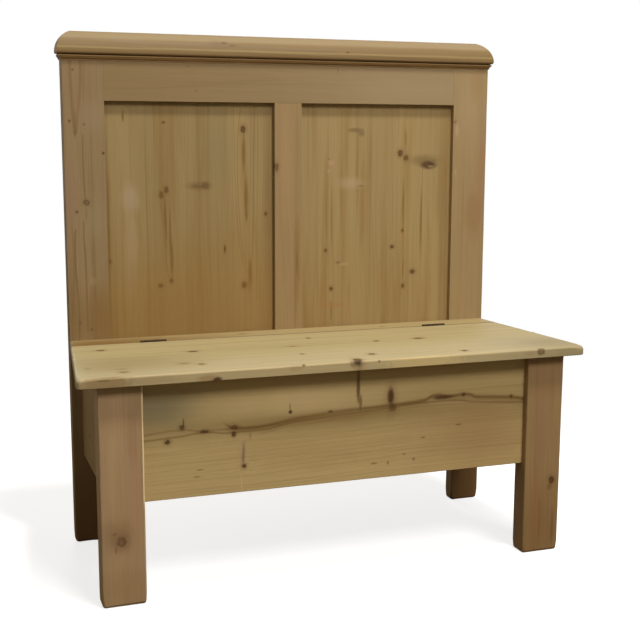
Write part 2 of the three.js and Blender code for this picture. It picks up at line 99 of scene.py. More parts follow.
class Field:
    """A number that changes over a surface. Arithmetic on it adds Math nodes."""

    __add__ = __radd__ = maths("ADD")
    __mul__ = __rmul__ = maths("MULTIPLY")
    __sub__ = maths("SUBTRACT")
    __rsub__ = maths("SUBTRACT", from_right=True)
    __truediv__ = maths("DIVIDE")
    __pow__ = maths("POWER")
    __abs__ = maths("ABSOLUTE")
    fraction = maths("FRACT")
    root = maths("SQRT")
    least = maths("MINIMUM")
    most = maths("MAXIMUM")

    def __init__(self, paint, socket):
        self.paint = paint
        self.socket = socket

    def ramp(self, start, end):
        """0 before start and 1 after end, smoothly; falls when start is above end."""
        low, high = (0.0, 1.0) if start < end else (1.0, 0.0)
        values = {0: self, 1: min(start, end), 2: max(start, end), 3: low, 4: high}
        return Field(self.paint, self.paint.out("MapRange", {"interpolation_type": "SMOOTHSTEP"}, values))


class Graph:
    """A node tree. A node's settings come first, then a value or a link for each of its sockets."""

    def __init__(self, tree, prefix=""):
        self.tree = tree
        self.prefix = prefix

    def node(self, kind, settings=None, values=None):
        made = self.tree.nodes.new(self.prefix + kind)
        for key, value in (settings or {}).items():
            setattr(made, key, value)
        for key, value in (values or {}).items():
            if isinstance(value, Field):
                value = value.socket
            if isinstance(value, bpy.types.NodeSocket):
                self.tree.links.new(value, made.inputs[key])
            else:
                made.inputs[key].default_value = value
        return made

    def out(self, kind, settings=None, values=None):
        """Adds a node that is only wanted for its first output."""
        return self.node(kind, settings, values).outputs[0]


class Paint(Graph):
    """One material. Its x, y and z are the Object coordinates."""

    def __init__(self, name):
        self.material = bpy.data.materials.new(name)
        self.material.use_nodes = True
        super().__init__(self.material.node_tree, "ShaderNode")
        self.tree.nodes.clear()
        split = self.node("SeparateXYZ", values={0: self.node("TexCoord").outputs["Object"]})
        self.x, self.y, self.z = (Field(self, out) for out in split.outputs)

    def math(self, operation, *values):
        return Field(self, self.out("Math", {"operation": operation}, dict(enumerate(values))))

    def vector(self, x=0.0, y=0.0, z=0.0):
        return self.out("CombineXYZ", values={0: x, 1: y, 2: z})

    def cloud(self, vector, scale=1.0, detail=2.0, roughness=0.5):
        """Noise from 0 to 1 about 0.5."""
        values = {"Vector": vector, "Scale": scale, "Detail": detail, "Roughness": roughness}
        return Field(self, self.out("TexNoise", values=values))

    def blend(self, amount, first, second, mode="MIX"):
        """Mixes two colours. One that is written as three numbers goes through shade()."""
        first, second = (shade(*c) if isinstance(c, tuple) and len(c) == 3 else c for c in (first, second))
        settings = {"data_type": "RGBA", "blend_type": mode, "clamp_factor": True}
        return self.node("Mix", settings, {0: amount, 6: first, 7: second}).outputs[2]

    def times(self, colour, field):
        return self.blend(1.0, colour, self.vector(field, field, field), "MULTIPLY")

    def nearest(self, plane, spots):
        """Distance to the nearest of a few ovals, each counted in its own radii."""
        found = None
        for u, v, wide, high in spots:
            values = {0: plane, 1: (1 / wide, 1 / high, 0), 2: (-u / wide, -v / high, 0)}
            moved = self.out("VectorMath", {"operation": "MULTIPLY_ADD"}, values)
            length = self.node("VectorMath", {"operation": "LENGTH"}, {0: moved})
            distance = Field(self, length.outputs["Value"])
            found = distance if found is None else found.least(distance)
        return found

    def curve(self, field, points):
        """A smooth line through (input, output) points, level past both of its ends."""
        inputs, outputs = zip(*points)
        low, width = min(inputs), max(inputs) - min(inputs)
        bottom, height = min(outputs), max(outputs) - min(outputs)
        made = self.node("FloatCurve", values={"Value": (field - low) / width})
        line = made.mapping.curves[0]
        for i, (u, v) in enumerate(points):
            spot = ((u - low) / width, (v - bottom) / height)
            if i < 2:
                line.points[i].location = spot
            else:
                line.points.new(*spot)
        made.mapping.update()
        return Field(self, made.outputs[0]) * height + bottom

    def finish(self, height, depth, values):
        """Ends in one shader, dented by a height field that is depth deep."""
        dent = self.out("Bump", values={"Strength": 1.0, "Distance": depth, "Height": height})
        self.node("OutputMaterial", values={0: self.out("BsdfPrincipled", values={**values, "Normal": dent})})
        return self.material


def shade(red, green, blue):
    """A colour written as it looks on a screen, 0 to 255, as the linear light that it is."""
    def linear(c):
        c /= 255
        return c / 12.92 if c <= 0.04045 else ((c + 0.055) / 1.055) ** 2.4

    return (linear(red), linear(green), linear(blue), 1.0)


# Pine
KNOT_CORE = (82, 55, 28)
KNOT_RIM = (54, 34, 16)
RESIN = (118, 84, 44)
STREAK = (104, 72, 26)
PALER = 1.16
pines = {}


class Board(Paint):
    """The paint of one board. along and across follow its grain on the face, and into goes behind it."""

    def __init__(self, node, run, level):
        super().__init__(node + "_pine")
        self.run = run
        self.through = next(c for c in "xyz" if c not in run)
        self.level = getattr(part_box(node)[0], self.through) if level is None else level
        self.along, self.across, self.into = (getattr(self, c) for c in run + self.through)

    def at(self, px, py):
        """Where a pixel of the photograph falls on the face, along and across the grain."""
        point = seen_at(px, py, self.through, self.level)
        return tuple(getattr(point, c) for c in self.run)

    def ovals(self, marks):
        """Marks are (pixel x, pixel y, half width, half length in mm)."""
        return [(*self.at(px, py), long * MM, wide * MM) for px, py, wide, long in marks]


def pine(node, run, tone, late, seed, ring, pith, taper, contrast, level=None, streaks=0.5, sway=0.03,
         knots=(), own_knots=(), knot_strength=0.85, tails=(), tail_strength=0.7, lines=(), layers=()):
    """Waxed, stripped pine for one board. The growth rings lie round a pith line along the grain.

    run is two letters, along and across the grain. tone and late are the early and late wood; pith is
    (across, behind the face) in metres from the board's middle; ring is the ring spacing in mm; taper
    tilts the pith so that the rings run out in peaks. Knots and tails are (pixel x, pixel y, half
    width, half length in mm), own_knots are (along, across, half length, half width) in metres, and
    lines are (pixels, half width in mm, strength). The layers are laid over the rest in turn.
    """
    p = Board(node, run, level)
    a, b, c = p.along, p.across, p.into
    ring *= MM
    lo, hi = (getattr(corner, run[1]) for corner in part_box(node))
    wander = p.cloud(p.vector(a * 1.6 + seed, b * 5.0, c * 5.0 + seed)) - 0.5
    plane = p.vector(a, b + wander * (4 * MM))
    ovals = p.ovals(knots) + list(own_knots)
    bulge = 0.0
    if ovals:
        near = p.nearest(plane, ovals)
        swirl = p.nearest(plane, [(u, v, wide * 3.4, high * 2.0) for u, v, wide, high in ovals])
        bulge = swirl.ramp(1.7, 0.0)

    from_pith = (b - ((lo + hi) / 2 + pith[0]) + wander * sway) ** 2
    depth = (c - (p.level + pith[1])) ** 2
    radius = (from_pith + depth).root() + a * taper + bulge * (2.4 * ring)
    uneven = p.cloud(p.vector(radius * 42.0, seed, a * 0.8))
    count = radius / ring + uneven * 3.2
    step = count.fraction()
    voice = p.cloud(p.vector((count - step) * 5.3, seed), detail=0.0).ramp(0.3, 0.66)
    late_wood = step.ramp(0.24, 0.86) * step.ramp(1.0, 0.88) * (voice * 1.3 + 0.15)

    patch = p.cloud(p.vector(a * 2.2, b * 9.0 + seed, c * 9.0))
    fibre = p.cloud(p.vector(a * 9.0, b * 520.0 + seed, c * 520.0), detail=3.0, roughness=0.65)
    streak = p.cloud(p.vector(a * 1.1 + seed, b * 85.0, c * 85.0), roughness=0.6)
    broad = p.cloud(p.vector(a * 0.7 + seed, b * 20.0, c * 20.0))

    colour = p.blend(late_wood * contrast * patch.ramp(0.30, 0.72), tone, late)
    colour = p.blend(streak.ramp(0.52, 0.80) * streaks, colour, late)
    pale = (*(min(1.0, light * PALER) for light in shade(*tone)[:3]), 1.0)
    colour = p.blend(broad.ramp(0.50, 0.74) * 0.55, colour, pale)
    colour = p.times(colour, (fibre - 0.5) * 0.3 + 1.0)

    if tails:
        run_out = p.nearest(plane, p.ovals(tails)) + (streak - 0.5) * 1.4 + (fibre - 0.5) * 0.5
        colour = p.blend(run_out.ramp(1.3, 0.2) * tail_strength, colour, STREAK)
    for pixels, half_width, strength in lines:
        points = sorted(p.at(*pixel) for pixel in pixels)
        past_ends = (a - points[-1][0]).most(0.0) + (points[0][0] - a).most(0.0)
        off_line = abs(b - p.curve(a, points) + wander * (3 * MM)) + past_ends * 0.3
        nearness = (off_line / (half_width * MM) + (fibre - 0.5) * 0.7).ramp(1.3, 0.0)
        colour = p.blend(nearness * strength, colour, STREAK)
    if ovals:
        ragged = p.cloud(p.vector(a, b), scale=240.0)
        rough_near = near + (fibre - 0.5) * 0.3 + (ragged - 0.5) * 1.1
        colour = p.blend(rough_near.ramp(2.9, 0.7) * 0.4, colour, RESIN)
        colour = p.blend(rough_near.ramp(1.35, 0.5) * knot_strength, colour, KNOT_CORE)
        colour = p.blend(rough_near.ramp(1.2, 0.9) * rough_near.ramp(0.5, 0.8) * 0.45, colour, KNOT_RIM)
    for layer in layers:
        colour = layer(p, colour)

    sheen = 0.6 + (streak - 0.5) * 0.2 - late_wood * 0.05
    height = late_wood * 0.5 + fibre * 0.55 + streak * 0.4
    values = {"Base Color": colour, "Roughness": sheen, "Specular IOR Level": 0.22}
    pines[node] = p.finish(height, 0.12 * MM, values)


# Metals
def rusty_steel(name, bright, dull, rust_amount):
    p = Paint(name)
    where = p.vector(p.x, p.y, p.z)
    patch = p.cloud(where, scale=160.0, detail=4.0, roughness=0.65)
    speck = p.cloud(where, scale=900.0)
    rust = patch.ramp(0.42, 0.62) * rust_amount
    colour = p.blend(speck.ramp(0.55, 0.75) * 0.4, p.blend(rust, bright, dull), (28, 20, 15))
    return p.finish(patch * 0.7 + speck * 0.3, 0.15 * MM, {
        "Base Color": colour, "Metallic": 0.5 - rust * 0.5, "Roughness": 0.5 + rust * 0.3,
        "Specular IOR Level": 0.2,
    })


hinge_steel = rusty_steel("hinge_steel", (50, 38, 24), (46, 30, 16), 1.0)
screw_steel = rusty_steel("screw_steel", (150, 142, 130), (96, 70, 48), 0.6)


# Meshes
def mesh_from(name, bm):
    mesh = bpy.data.meshes.new(name)
    bm.to_mesh(mesh)
    bm.free()
    return mesh


def smooth(mesh, angle):
    mesh.shade_smooth()
    mesh.set_sharp_from_angle(angle=math.radians(angle))


ARRIS_STEPS = 4
OUTLINE_STEP = 14 * MM
CORNER_STEPS = 4
LEAST_RADIUS = 0.05 * MM


class Outline:
    """A closed outline with rounded corners, which can be drawn again a little further in."""

    def __init__(self, corners, radii):
        self.corners = [Vector(c) for c in corners]
        self.radii = radii
        count = len(self.corners)
        ends = [self.corners[i - 1] - self.corners[i] for i in range(count)]
        self.back = [e.normalized() for e in ends]
        self.ahead = [-self.back[(i + 1) % count] for i in range(count)]
        area = sum(self.corners[i - 1].cross(self.corners[i]) for i in range(count))
        self.turn = 1 if area > 0 else -1
        self.stations = []
        for i, corner in enumerate(self.corners):
            self.stations += [(i, k / CORNER_STEPS, None) for k in range(CORNER_STEPS + 1)]
            after = self.corners[(i + 1) % count]
            start = corner + self.ahead[i] * radii[i]
            finish = after - self.ahead[i] * radii[(i + 1) % count]
            parts = max(1, round((finish - start).length / OUTLINE_STEP))
            self.stations += [(i, None, start.lerp(finish, k / parts)) for k in range(1, parts)]

    def inward(self, direction):
        return Vector((-direction.y, direction.x)) * self.turn

    def point(self, station, size):
        """A station's place when the outline is drawn in by a size."""
        i, share, on_run = station
        if share is None:
            return on_run + self.inward(self.ahead[i]) * size
        before = self.inward(-self.back[i])
        after = self.inward(self.ahead[i])
        corner = self.corners[i] + (before + after) * (size / (1 + before.dot(after)))
        radius = max(self.radii[i] - size, LEAST_RADIUS)
        start = corner + self.back[i] * radius
        finish = corner + self.ahead[i] * radius
        return start * (1 - share) ** 2 + corner * (2 * share * (1 - share)) + finish * share**2


def dress(piece, body, slot, *replaced):
    """Says what a finished piece rides on and the solids it stands for. Its finish, slot, is not used."""
    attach(piece, body)
    if replaced:
        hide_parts(*replaced)


def board(name, node, slot, corners, radii, arris, seed, lay="xzy", body="bench", wear=0.6, under=1.0):
    """A board with hand-worn edges: its outline is drawn on its face and its thickness goes through.

    radii are the corners' in mm. lay names the outline's two axes and the one through the board. arris
    gives a size in mm for a point of the outline; under is its share on side 0.
    """
    outline = Outline(corners, [radius * MM for radius in radii])
    count = len(outline.stations)
    near_face, far_face = (getattr(corner, lay[2]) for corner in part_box(node))
    bm = bmesh.new()

    def local_arris(station, side):
        i, share, on_run = station
        place = outline.corners[i] if on_run is None else on_run
        spot = Vector((place.x * 14, place.y * 14, seed + side * 7.3))
        chip = Vector((place.x * 90, place.y * 90, seed + side * 3.1))
        size = arris(place) * (under if side == 0 else 1.0)
        return size * MM * (1 + wear * (noise.noise(spot) + 0.6 * noise.noise(chip)))

    rings = []
    for side in (0, 1):
        steps = range(ARRIS_STEPS + 1) if side == 0 else range(ARRIS_STEPS, -1, -1)
        for k in steps:
            angle = math.pi / 2 * k / ARRIS_STEPS
            ring = []
            for station in outline.stations:
                size = local_arris(station, side)
                spot = outline.point(station, size * (1 - math.sin(angle)))
                deep = size * (1 - math.cos(angle))
                place = (*spot, near_face + deep if side == 0 else far_face - deep)
                ring.append(bm.verts.new([place[lay.index(c)] for c in "xyz"]))
            rings.append(ring)
    for lower, upper in zip(rings, rings[1:]):
        for i in range(count):
            j = (i + 1) % count
            bm.faces.new((lower[i], lower[j], upper[j], upper[i]))
    bm.faces.new(rings[0])
    bm.faces.new(rings[-1])
    bmesh.ops.recalc_face_normals(bm, faces=bm.faces)
    # the large faces stay flat and the narrow ones take all the turning
    normals = [
        sum((f.normal * f.calc_area() for f in v.link_faces), Vector()).normalized() for v in bm.verts
    ]
    mesh = mesh_from(name, bm)
    mesh.materials.append(pines[node])
    smooth(mesh, angle=40)
    mesh.normals_split_custom_set_from_vertices(normals)
    dress(new_object(name, mesh), body, slot, node)


def rectangle(x0, x1, y0, y1):
    return [(x0, y0), (x1, y0), (x1, y1), (x0, y1)]


# Places on the bench, all read from the frame
stile_lo, stile_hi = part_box("back_stile_right")
panel_lo, panel_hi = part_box("back_panel_left")
lid_lo, lid_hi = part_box("lid_board_front")
face_y = stile_lo.y
back_y = stile_hi.y
half = stile_hi.x
stile_inner = stile_lo.x
frame_top = stile_hi.z
leg_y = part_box("front_leg_left")[0].y
seat_z = lid_hi.z
lid_y = lid_lo.y
lid_joint_y = lid_hi.y
PANEL_INSET = 9.5 * MM  # how far a panel goes into its grooves
rail_low = panel_hi.z - PANEL_INSET
rail_high = panel_lo.z + PANEL_INSET
box_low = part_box("side_apron_left")[0].z
box_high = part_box("side_apron_left")[1].z
muntin_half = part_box("back_muntin")[1].x
cornice_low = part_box("cornice_front")[0].z
hinge_y = (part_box("hinge_left_pin")[0].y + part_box("hinge_left_pin")[1].y) / 2


# Layers on the pine
def soft_patch(scale, mottling, start, full):
    """A kind of patch of another colour; its half width and half length are in mm."""
    def kind(px, py, wide, long, colour, amount):
        def layer(p, under):
            reach = p.nearest(p.vector(p.along, p.across), p.ovals([(px, py, wide, long)]))
            mottle = p.cloud(p.vector(p.x, p.y, p.z), scale=scale, detail=3.0)
            return p.blend((reach + (mottle - 0.5) * mottling).ramp(start, full) * amount, under, colour)

        return layer

    return kind


smudge = soft_patch(30.0, 0.9, 1.25, 0.4)
veil = soft_patch(8.0, 0.8, 1.7, 0.0)  # broad, and without an edge


def on_edge(px, py, wide, high, colour, amount):
    """A soft patch on the lid's front edge; wide and high are its half sizes in mm."""
    spot = seen_at(px, py, "y", lid_y)

    def layer(p, under):
        plane = p.vector(p.x, p.z)
        near = p.nearest(plane, [(spot.x, spot.z, wide * MM, high * MM)])
        mottle = p.cloud(plane, scale=120.0, detail=3.0)
        only_there = p.y.ramp(lid_y + 9 * MM, lid_y + 1 * MM)
        return p.blend((near + (mottle - 0.5) * 0.9).ramp(1.25, 0.45) * only_there * amount, under, colour)

    return layer


def arris_highlight_and_wear(p, under):
    """Painted highlight on pale worn wood along the left leg's arris beside the apron, where the eased arris
    catches the light.
    """
    patchy = p.cloud(p.vector(p.x, p.y, p.z), scale=14.0).ramp(0.2, 0.5)
    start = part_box("front_leg_left")[1].x - 4 * MM
    line = p.x.ramp(start, start + 1.6 * MM) * p.y.ramp(leg_y + 6 * MM, leg_y + 2 * MM)
    beside_box = p.z.ramp(box_low - 12 * MM, box_low + 12 * MM) * 0.8 + 0.2
    return p.blend(line * beside_box * patchy, under, (232, 208, 160))


def glue_joints(*joints):
    """Thin dark lines where a panel's boards meet, from pixels half way up it, and the tone after each."""
    def layer(p, under):
        for px, change in joints:
            edge = seen_at(px, 220, "y", p.level).x
            under = p.blend(abs(p.x - edge).ramp(1.2 * MM, 0.2 * MM) * 0.12, under, KNOT_CORE)
            under = p.times(under, p.x.ramp(edge - 0.1 * MM, edge + 0.1 * MM) * (change - 1.0) + 1.0)
        return under

    return layer


def rise(low, high, dark, colour):
    """A slow change of tone up a board, as where hands and polish have worked it."""
    def layer(p, under):
        cloud = p.cloud(p.vector(p.x * 3.0, p.y * 3.0, p.z * 2.0))
        return p.blend((p.z + (cloud - 0.5) * 0.3).ramp(high, low) * dark, under, colour)

    return layer


# Pine of the back frame
RAIL_TONE = (142, 119, 84)
RAIL_LATE = (118, 91, 56)
REAR_TONE = (161, 145, 103)
REAR_LATE = (134, 115, 74)
AMBER = (132, 98, 46)
HAND_DARK = (100, 76, 46)
CORNICE_TONE = (124, 100, 60)
CORNICE_LATE = (103, 80, 44)


def shaded_back_foot(p, under):
    """Painted shade on the back feet under the box: they are darker and warmer than the frame above them."""
    return p.blend(p.z.ramp(0.34, 0.06) * 0.62, under, (116, 76, 30))


pine(
    "back_stile_left", "zx", (139, 116, 82), (110, 84, 50),
    seed=1.0, ring=7.2, pith=(0.0, 0.03), taper=-0.02, contrast=0.24, streaks=0.6,
    knots=[
        (86.6, 202.6, 6.2, 5.6), (76.7, 212, 2.4, 2.4), (72.6, 69.4, 2, 1.8), (69.4, 120.8, 2, 2.4),
        (92.1, 329.6, 2.8, 2.6), (83.8, 124.2, 2, 2.4), (103.2, 153.2, 2.4, 2.6), (80.3, 323, 1.8, 3),
    ],
    tails=[(74.8, 118, 2.6, 30), (79, 326, 1.8, 22), (86, 214, 3, 18)], tail_strength=0.5,
    lines=[
        ([(69.4, 60), (70.6, 85), (72, 104), (72.8, 114), (74.6, 133)], 4, 0.55),
        ([(80.4, 60), (80.2, 80), (78.8, 102), (77.6, 114), (75.6, 133)], 4, 0.5),
        ([(83.6, 60), (83.4, 100)], 2.2, 0.35),
        ([(82.8, 136), (83.4, 174), (84.4, 190), (86, 200)], 2.6, 0.5),
        ([(83.8, 222), (84, 240), (85, 250), (86.3, 282), (88, 330)], 2.4, 0.6),
        ([(75.4, 232), (75.2, 256), (77, 284), (79.4, 318), (79.4, 342)], 2.8, 0.6),
        ([(71.8, 226), (73.8, 270), (72.6, 310), (72.6, 342)], 1.8, 0.35),
        ([(93, 216), (93, 264)], 1.6, 0.3), ([(90.6, 286), (91.8, 326)], 1.8, 0.4),
    ],
    layers=[
        smudge(86.8, 202.4, 2.6, 2.4, (126, 100, 74), 0.7), veil(92, 116, 26, 34, (146, 126, 96), 0.6),
        veil(95, 220, 26, 44, (144, 126, 92), 0.55), veil(70, 196, 12, 60, (142, 112, 90), 0.5),
        veil(82, 88, 30, 60, (136, 108, 74), 0.4), veil(104, 318, 26, 70, (130, 98, 50), 0.7),
        veil(72, 310, 12, 90, (118, 88, 50), 0.5), veil(86, 322, 44, 60, (126, 97, 54), 0.6),
        smudge(93, 281, 8, 10, (150, 128, 96), 0.4), shaded_back_foot,
    ],
)
pine(
    "back_stile_right", "zx", (155, 130, 91), (125, 98, 60),
    seed=5.3, ring=8.4, pith=(0.05, 0.05), taper=0.012, contrast=0.14,
    knots=[(455.2, 122, 2.6, 2.6)], knot_strength=0.35,
    layers=[
        smudge(474, 215, 26, 60, AMBER, 0.3), smudge(457, 130, 5, 16, (182, 160, 124), 0.5),
        smudge(455, 172, 3, 9, (182, 160, 124), 0.4), veil(470, 110, 34, 90, (168, 146, 108), 0.5),
        veil(482, 165, 12, 90, (152, 114, 82), 0.6), veil(474, 210, 20, 60, (150, 114, 82), 0.45),
        veil(476, 84, 14, 40, (152, 122, 78), 0.5), veil(460, 290, 18, 50, (160, 132, 86), 0.4),
        shaded_back_foot,
    ],
)
pine(
    "back_muntin", "zx", (151, 125, 86), (122, 94, 55),
    seed=9.1, ring=6.8, pith=(-0.03, 0.04), taper=0.018, contrast=0.2,
    knots=[(276.6, 167, 4.5, 8)], knot_strength=0.5,
    layers=[
        smudge(297, 264, 9, 120, AMBER, 0.5), smudge(297, 262, 3.4, 36, HAND_DARK, 0.35),
        veil(286, 160, 14, 120, (166, 134, 96), 0.4),
    ],
)
pine(
    "back_top_rail", "xz", RAIL_TONE, RAIL_LATE,
    seed=12.7, ring=9.2, pith=(0.01, 0.06), taper=0.016, contrast=0.14, streaks=0.22,
    layers=[
        smudge(338, 70, 14, 0.8, KNOT_RIM, 0.6), smudge(188, 66, 1.4, 5, KNOT_RIM, 0.4),
        smudge(196, 91, 4, 5, HAND_DARK, 0.3), veil(110, 84, 70, 260, (132, 108, 70), 0.6),
        veil(420, 90, 60, 240, (162, 140, 106), 0.7),
    ],
)
pine(
    "back_bottom_rail", "xz", RAIL_TONE, RAIL_LATE,
    seed=15.2, ring=4.0, pith=(0.02, 0.08), taper=0.02, contrast=0.3,
    own_knots=[(-0.22, 0.30, 9 * MM, 6 * MM), (0.15, 0.36, 6 * MM, 4 * MM)],
)


def cornice_shading_bands(p, under):
    """Painted highlight and shade in bands along the moulding, from its top arris down to the nose."""
    sway = p.cloud(p.vector(p.x * 5.0, 0.0, 3.0)) - 0.5
    height = p.z + sway * (5 * MM)
    for at, width, colour, amount in (
        (40, 11, (144, 126, 94), 0.7), (14, 3, (156, 134, 88), 0.5),
        (24, 8, (108, 86, 48), 0.4), (5, 4, (122, 96, 66), 0.4),
    ):
        level = cornice_low + at * MM
        under = p.blend(abs(height - level).ramp(width * MM, 0.3 * width * MM) * amount, under, colour)
    return under


pine(
    "cornice_front", "xz", CORNICE_TONE, CORNICE_LATE,
    seed=18.4, ring=4.4, pith=(-0.05, 0.05), taper=0.01, contrast=0.42, level=face_y, streaks=0.75,
    knots=[(224, 43, 2.5, 5), (232, 46, 1.6, 7), (346.5, 53, 1.6, 3)],
    layers=[cornice_shading_bands, smudge(218, 44, 7, 26, HAND_DARK, 0.3)],
)


def bead_groove_shade(p, under):
    """Painted shade in the grooves above and below the small moulding."""
    lo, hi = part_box("bead_front")
    patchy = p.cloud(p.vector(p.x * 9.0, p.y * 9.0, p.z * 9.0)).ramp(0.2, 0.6)
    lower = p.z.ramp(lo.z + 5.6 * MM, lo.z + 3.8 * MM).least(p.z.ramp(lo.z + 0.8 * MM, lo.z + 2.4 * MM)) * 0.8
    grooves = lower.most(p.z.ramp(hi.z - 2.6 * MM, hi.z - 1.2 * MM))
    return p.blend(grooves * (patchy * 0.4 + 0.45), under, KNOT_RIM)


pine(
    "bead_front", "xz", (160, 127, 82), (112, 84, 50),
    seed=19.8, ring=3.6, pith=(-0.05, 0.05), taper=0.01, contrast=0.25, level=face_y, layers=[bead_groove_shade],
)
pine(
    "cornice_return_right", "yz", CORNICE_TONE, CORNICE_LATE,
    seed=21.4, ring=3.4, pith=(-0.04, 0.05), taper=0.01, contrast=0.3,
    level=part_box("cornice_return_right")[1].x, layers=[cornice_shading_bands],
)


def amber_bands(p, under):
    """Broad upright bands where the wood took more of the wax."""
    band = p.cloud(p.vector(p.x * 26.0, 3.0, p.z * 1.6), detail=3.0, roughness=0.6)
    return p.blend(band.ramp(0.46, 0.70) * 0.52, under, AMBER)


pine(
    "back_panel_left", "zx", (146, 124, 82), (112, 86, 45),
    seed=25.0, ring=10.5, pith=(0.10, 0.05), taper=0.006, contrast=0.13, sway=0.05, streaks=0.42,
    knots=[
        (163.3, 122.4, 3.2, 2.4), (242.9, 129.3, 5.4, 7.5), (161.3, 194.8, 4.8, 7), (166.2, 190, 4.6, 6.4),
        (265.4, 213.8, 3.2, 4.4), (225, 249, 2.2, 8), (109.5, 261.7, 3.8, 4), (171.6, 280.8, 3.4, 4.8),
        (160.8, 285.6, 5.2, 3.8), (244.3, 284.9, 5.4, 6.4),
    ],
    tails=[
        (166, 226, 2.4, 66), (170.4, 236, 2.4, 60), (164.6, 214, 3, 44), (246, 198, 5, 52), (250, 274, 6, 42),
        (243.4, 152, 5, 44), (172, 258, 4, 44), (122.6, 116, 3, 14), (246.2, 214, 4, 20),
    ],
    lines=[
        ([(233.5, 108), (234.5, 160), (238, 230), (248, 272)], 1.4, 0.3),
        ([(251, 108), (250.6, 160), (249, 230), (249, 290)], 1.2, 0.3),
        ([(257.5, 108), (257, 200), (256.5, 300)], 1.2, 0.3),
        ([(241, 108), (237.4, 150), (240.4, 230), (248.8, 264)], 1.4, 0.34),
        ([(254, 108), (253.4, 160), (252.8, 230), (250.6, 266)], 1.4, 0.34),
        ([(161, 204), (165.4, 250), (168.8, 276)], 1.6, 0.4),
        ([(108.6, 180), (109.2, 256), (107, 330)], 2.2, 0.26),
    ],
    layers=[
        veil(199, 186, 26, 9, (96, 74, 46), 0.6), smudge(205.5, 185.6, 10, 10, (82, 62, 46), 0.6),
        smudge(198, 186.4, 18, 4, (92, 70, 46), 0.45), smudge(130, 198, 22, 38, (166, 144, 116), 0.6),
        smudge(133, 238, 12, 66, (164, 144, 112), 0.4), veil(131, 262, 16, 70, (160, 138, 104), 0.4),
        # painted shade with an amber tint down the panel's right edge, beside the muntin
        veil(269, 215, 10, 330, (108, 80, 48), 0.5),
        amber_bands,
        veil(106.5, 232, 8, 230, (110, 80, 36), 0.85), veil(218, 150, 34, 60, (132, 120, 84), 0.4),
        smudge(137, 290, 6, 90, (152, 126, 78), 0.4),
        glue_joints((147, 0.97), (209, 1.03), (233, 1.04)),
        rise(0.44, 0.78, 0.5, (136, 100, 42)),
    ],
)
pine(
    "back_panel_right", "zx", (155, 132, 88), (119, 92, 52),
    seed=31.0, ring=10.0, pith=(-0.12, 0.06), taper=0.006, contrast=0.12, sway=0.05, streaks=0.38,
    knots=[
        (400.5, 153.2, 6, 7), (406, 157.8, 5.4, 6.4), (402.5, 230.5, 2.8, 3.6), (392, 246.6, 4.4, 3.8),
        (325.4, 250.4, 3.4, 3.6), (412.4, 271.4, 5.4, 4.6), (402.9, 285.7, 3.6, 5), (330.9, 288.7, 3.8, 4.6),
    ],
    tails=[
        (403.2, 205, 4, 60), (420.8, 222, 3.6, 80), (326, 215, 2.4, 90), (331.5, 215, 2.4, 90),
        (406, 138, 4, 26), (331, 312, 4, 34), (403, 268, 3.4, 34),
    ],
    tail_strength=0.48,
    lines=[
        ([(403.6, 180), (403.2, 215), (402.8, 250), (403, 282)], 1.2, 0.3),
        ([(316.5, 110), (316.5, 200), (317, 320)], 1.0, 0.22),
        ([(423, 160), (421.5, 222), (421, 290)], 1.6, 0.26),
    ],
    layers=[
        smudge(354, 130, 17, 6, (92, 70, 46), 0.5), smudge(361.5, 132.5, 10, 11, (92, 70, 52), 0.5),
        veil(424, 160.4, 34, 12, (108, 84, 48), 0.6), smudge(429, 164.6, 24, 10, (78, 56, 34), 0.95),
        smudge(434, 160.6, 9, 5, (120, 96, 60), 0.6), smudge(431, 166.4, 8, 2.6, (150, 122, 82), 0.8),
        amber_bands,
        smudge(338, 262.5, 8, 4, KNOT_CORE, 0.4), smudge(344, 264, 14, 4, (172, 148, 108), 0.5),
        # the second veil here is painted shade down the panel's right edge, beside the stile
        veil(352, 183, 34, 14, (174, 150, 116), 0.6), veil(444, 215, 12, 330, (126, 98, 56), 0.4),
        smudge(361, 186, 9, 3, KNOT_CORE, 0.32), smudge(331.5, 163, 9, 7, (176, 140, 110), 0.6),
        smudge(329, 171, 5, 5, (172, 140, 110), 0.5), smudge(329, 159, 2.4, 2.4, KNOT_CORE, 0.4),
        smudge(332, 305, 40, 8, (160, 104, 60), 0.3),
        glue_joints((318, 1.03), (367, 0.97), (397, 1.03)),
        rise(0.44, 0.74, 0.16, AMBER),
    ],
)


# Pine of the box and legs
pine(
    "front_leg_left", "zx", (167, 138, 101), (134, 102, 67),
    seed=41.0, ring=9.5, pith=(0.06, 0.03), taper=0.01, contrast=0.13,
    knots=[(121.8, 541.7, 8.5, 10)], knot_strength=0.75,
    layers=[
        veil(118, 537, 28, 30, (122, 90, 60), 0.55), smudge(121.4, 543, 4, 4.5, (136, 96, 74), 0.75),
        smudge(114.6, 534.6, 5, 4, (84, 58, 40), 0.45), smudge(116, 551, 2.4, 8, (104, 76, 48), 0.4),
        veil(136, 500, 10, 110, (172, 132, 100), 0.55), veil(118, 500, 14, 60, (164, 138, 92), 0.45),
        smudge(128, 590, 60, 50, AMBER, 0.2), smudge(112, 470, 9, 90, (182, 150, 108), 0.35),
        smudge(132, 440, 12, 60, (150, 114, 84), 0.35), smudge(126, 598, 5, 30, (150, 122, 84), 0.3),
        arris_highlight_and_wear,
    ],
)
pine(
    "front_leg_right", "zx", (152, 123, 83), (121, 90, 54),
    seed=44.0, ring=9.2, pith=(-0.05, 0.03), taper=0.012, contrast=0.14,
    knots=[(551.4, 479.8, 6.4, 8)], knot_strength=0.95,
    layers=[
        veil(538, 530, 60, 110, (122, 86, 40), 0.5), smudge(549.4, 486.4, 7, 9, (96, 66, 38), 0.35),
        smudge(551.6, 528, 5, 50, (106, 68, 34), 0.45), smudge(539, 520, 3, 60, (112, 76, 38), 0.35),
        smudge(552, 396, 8, 60, (142, 112, 70), 0.4), veil(540, 430, 16, 90, (144, 106, 80), 0.5),
        veil(536, 500, 10, 90, (146, 104, 72), 0.45),
    ],
)
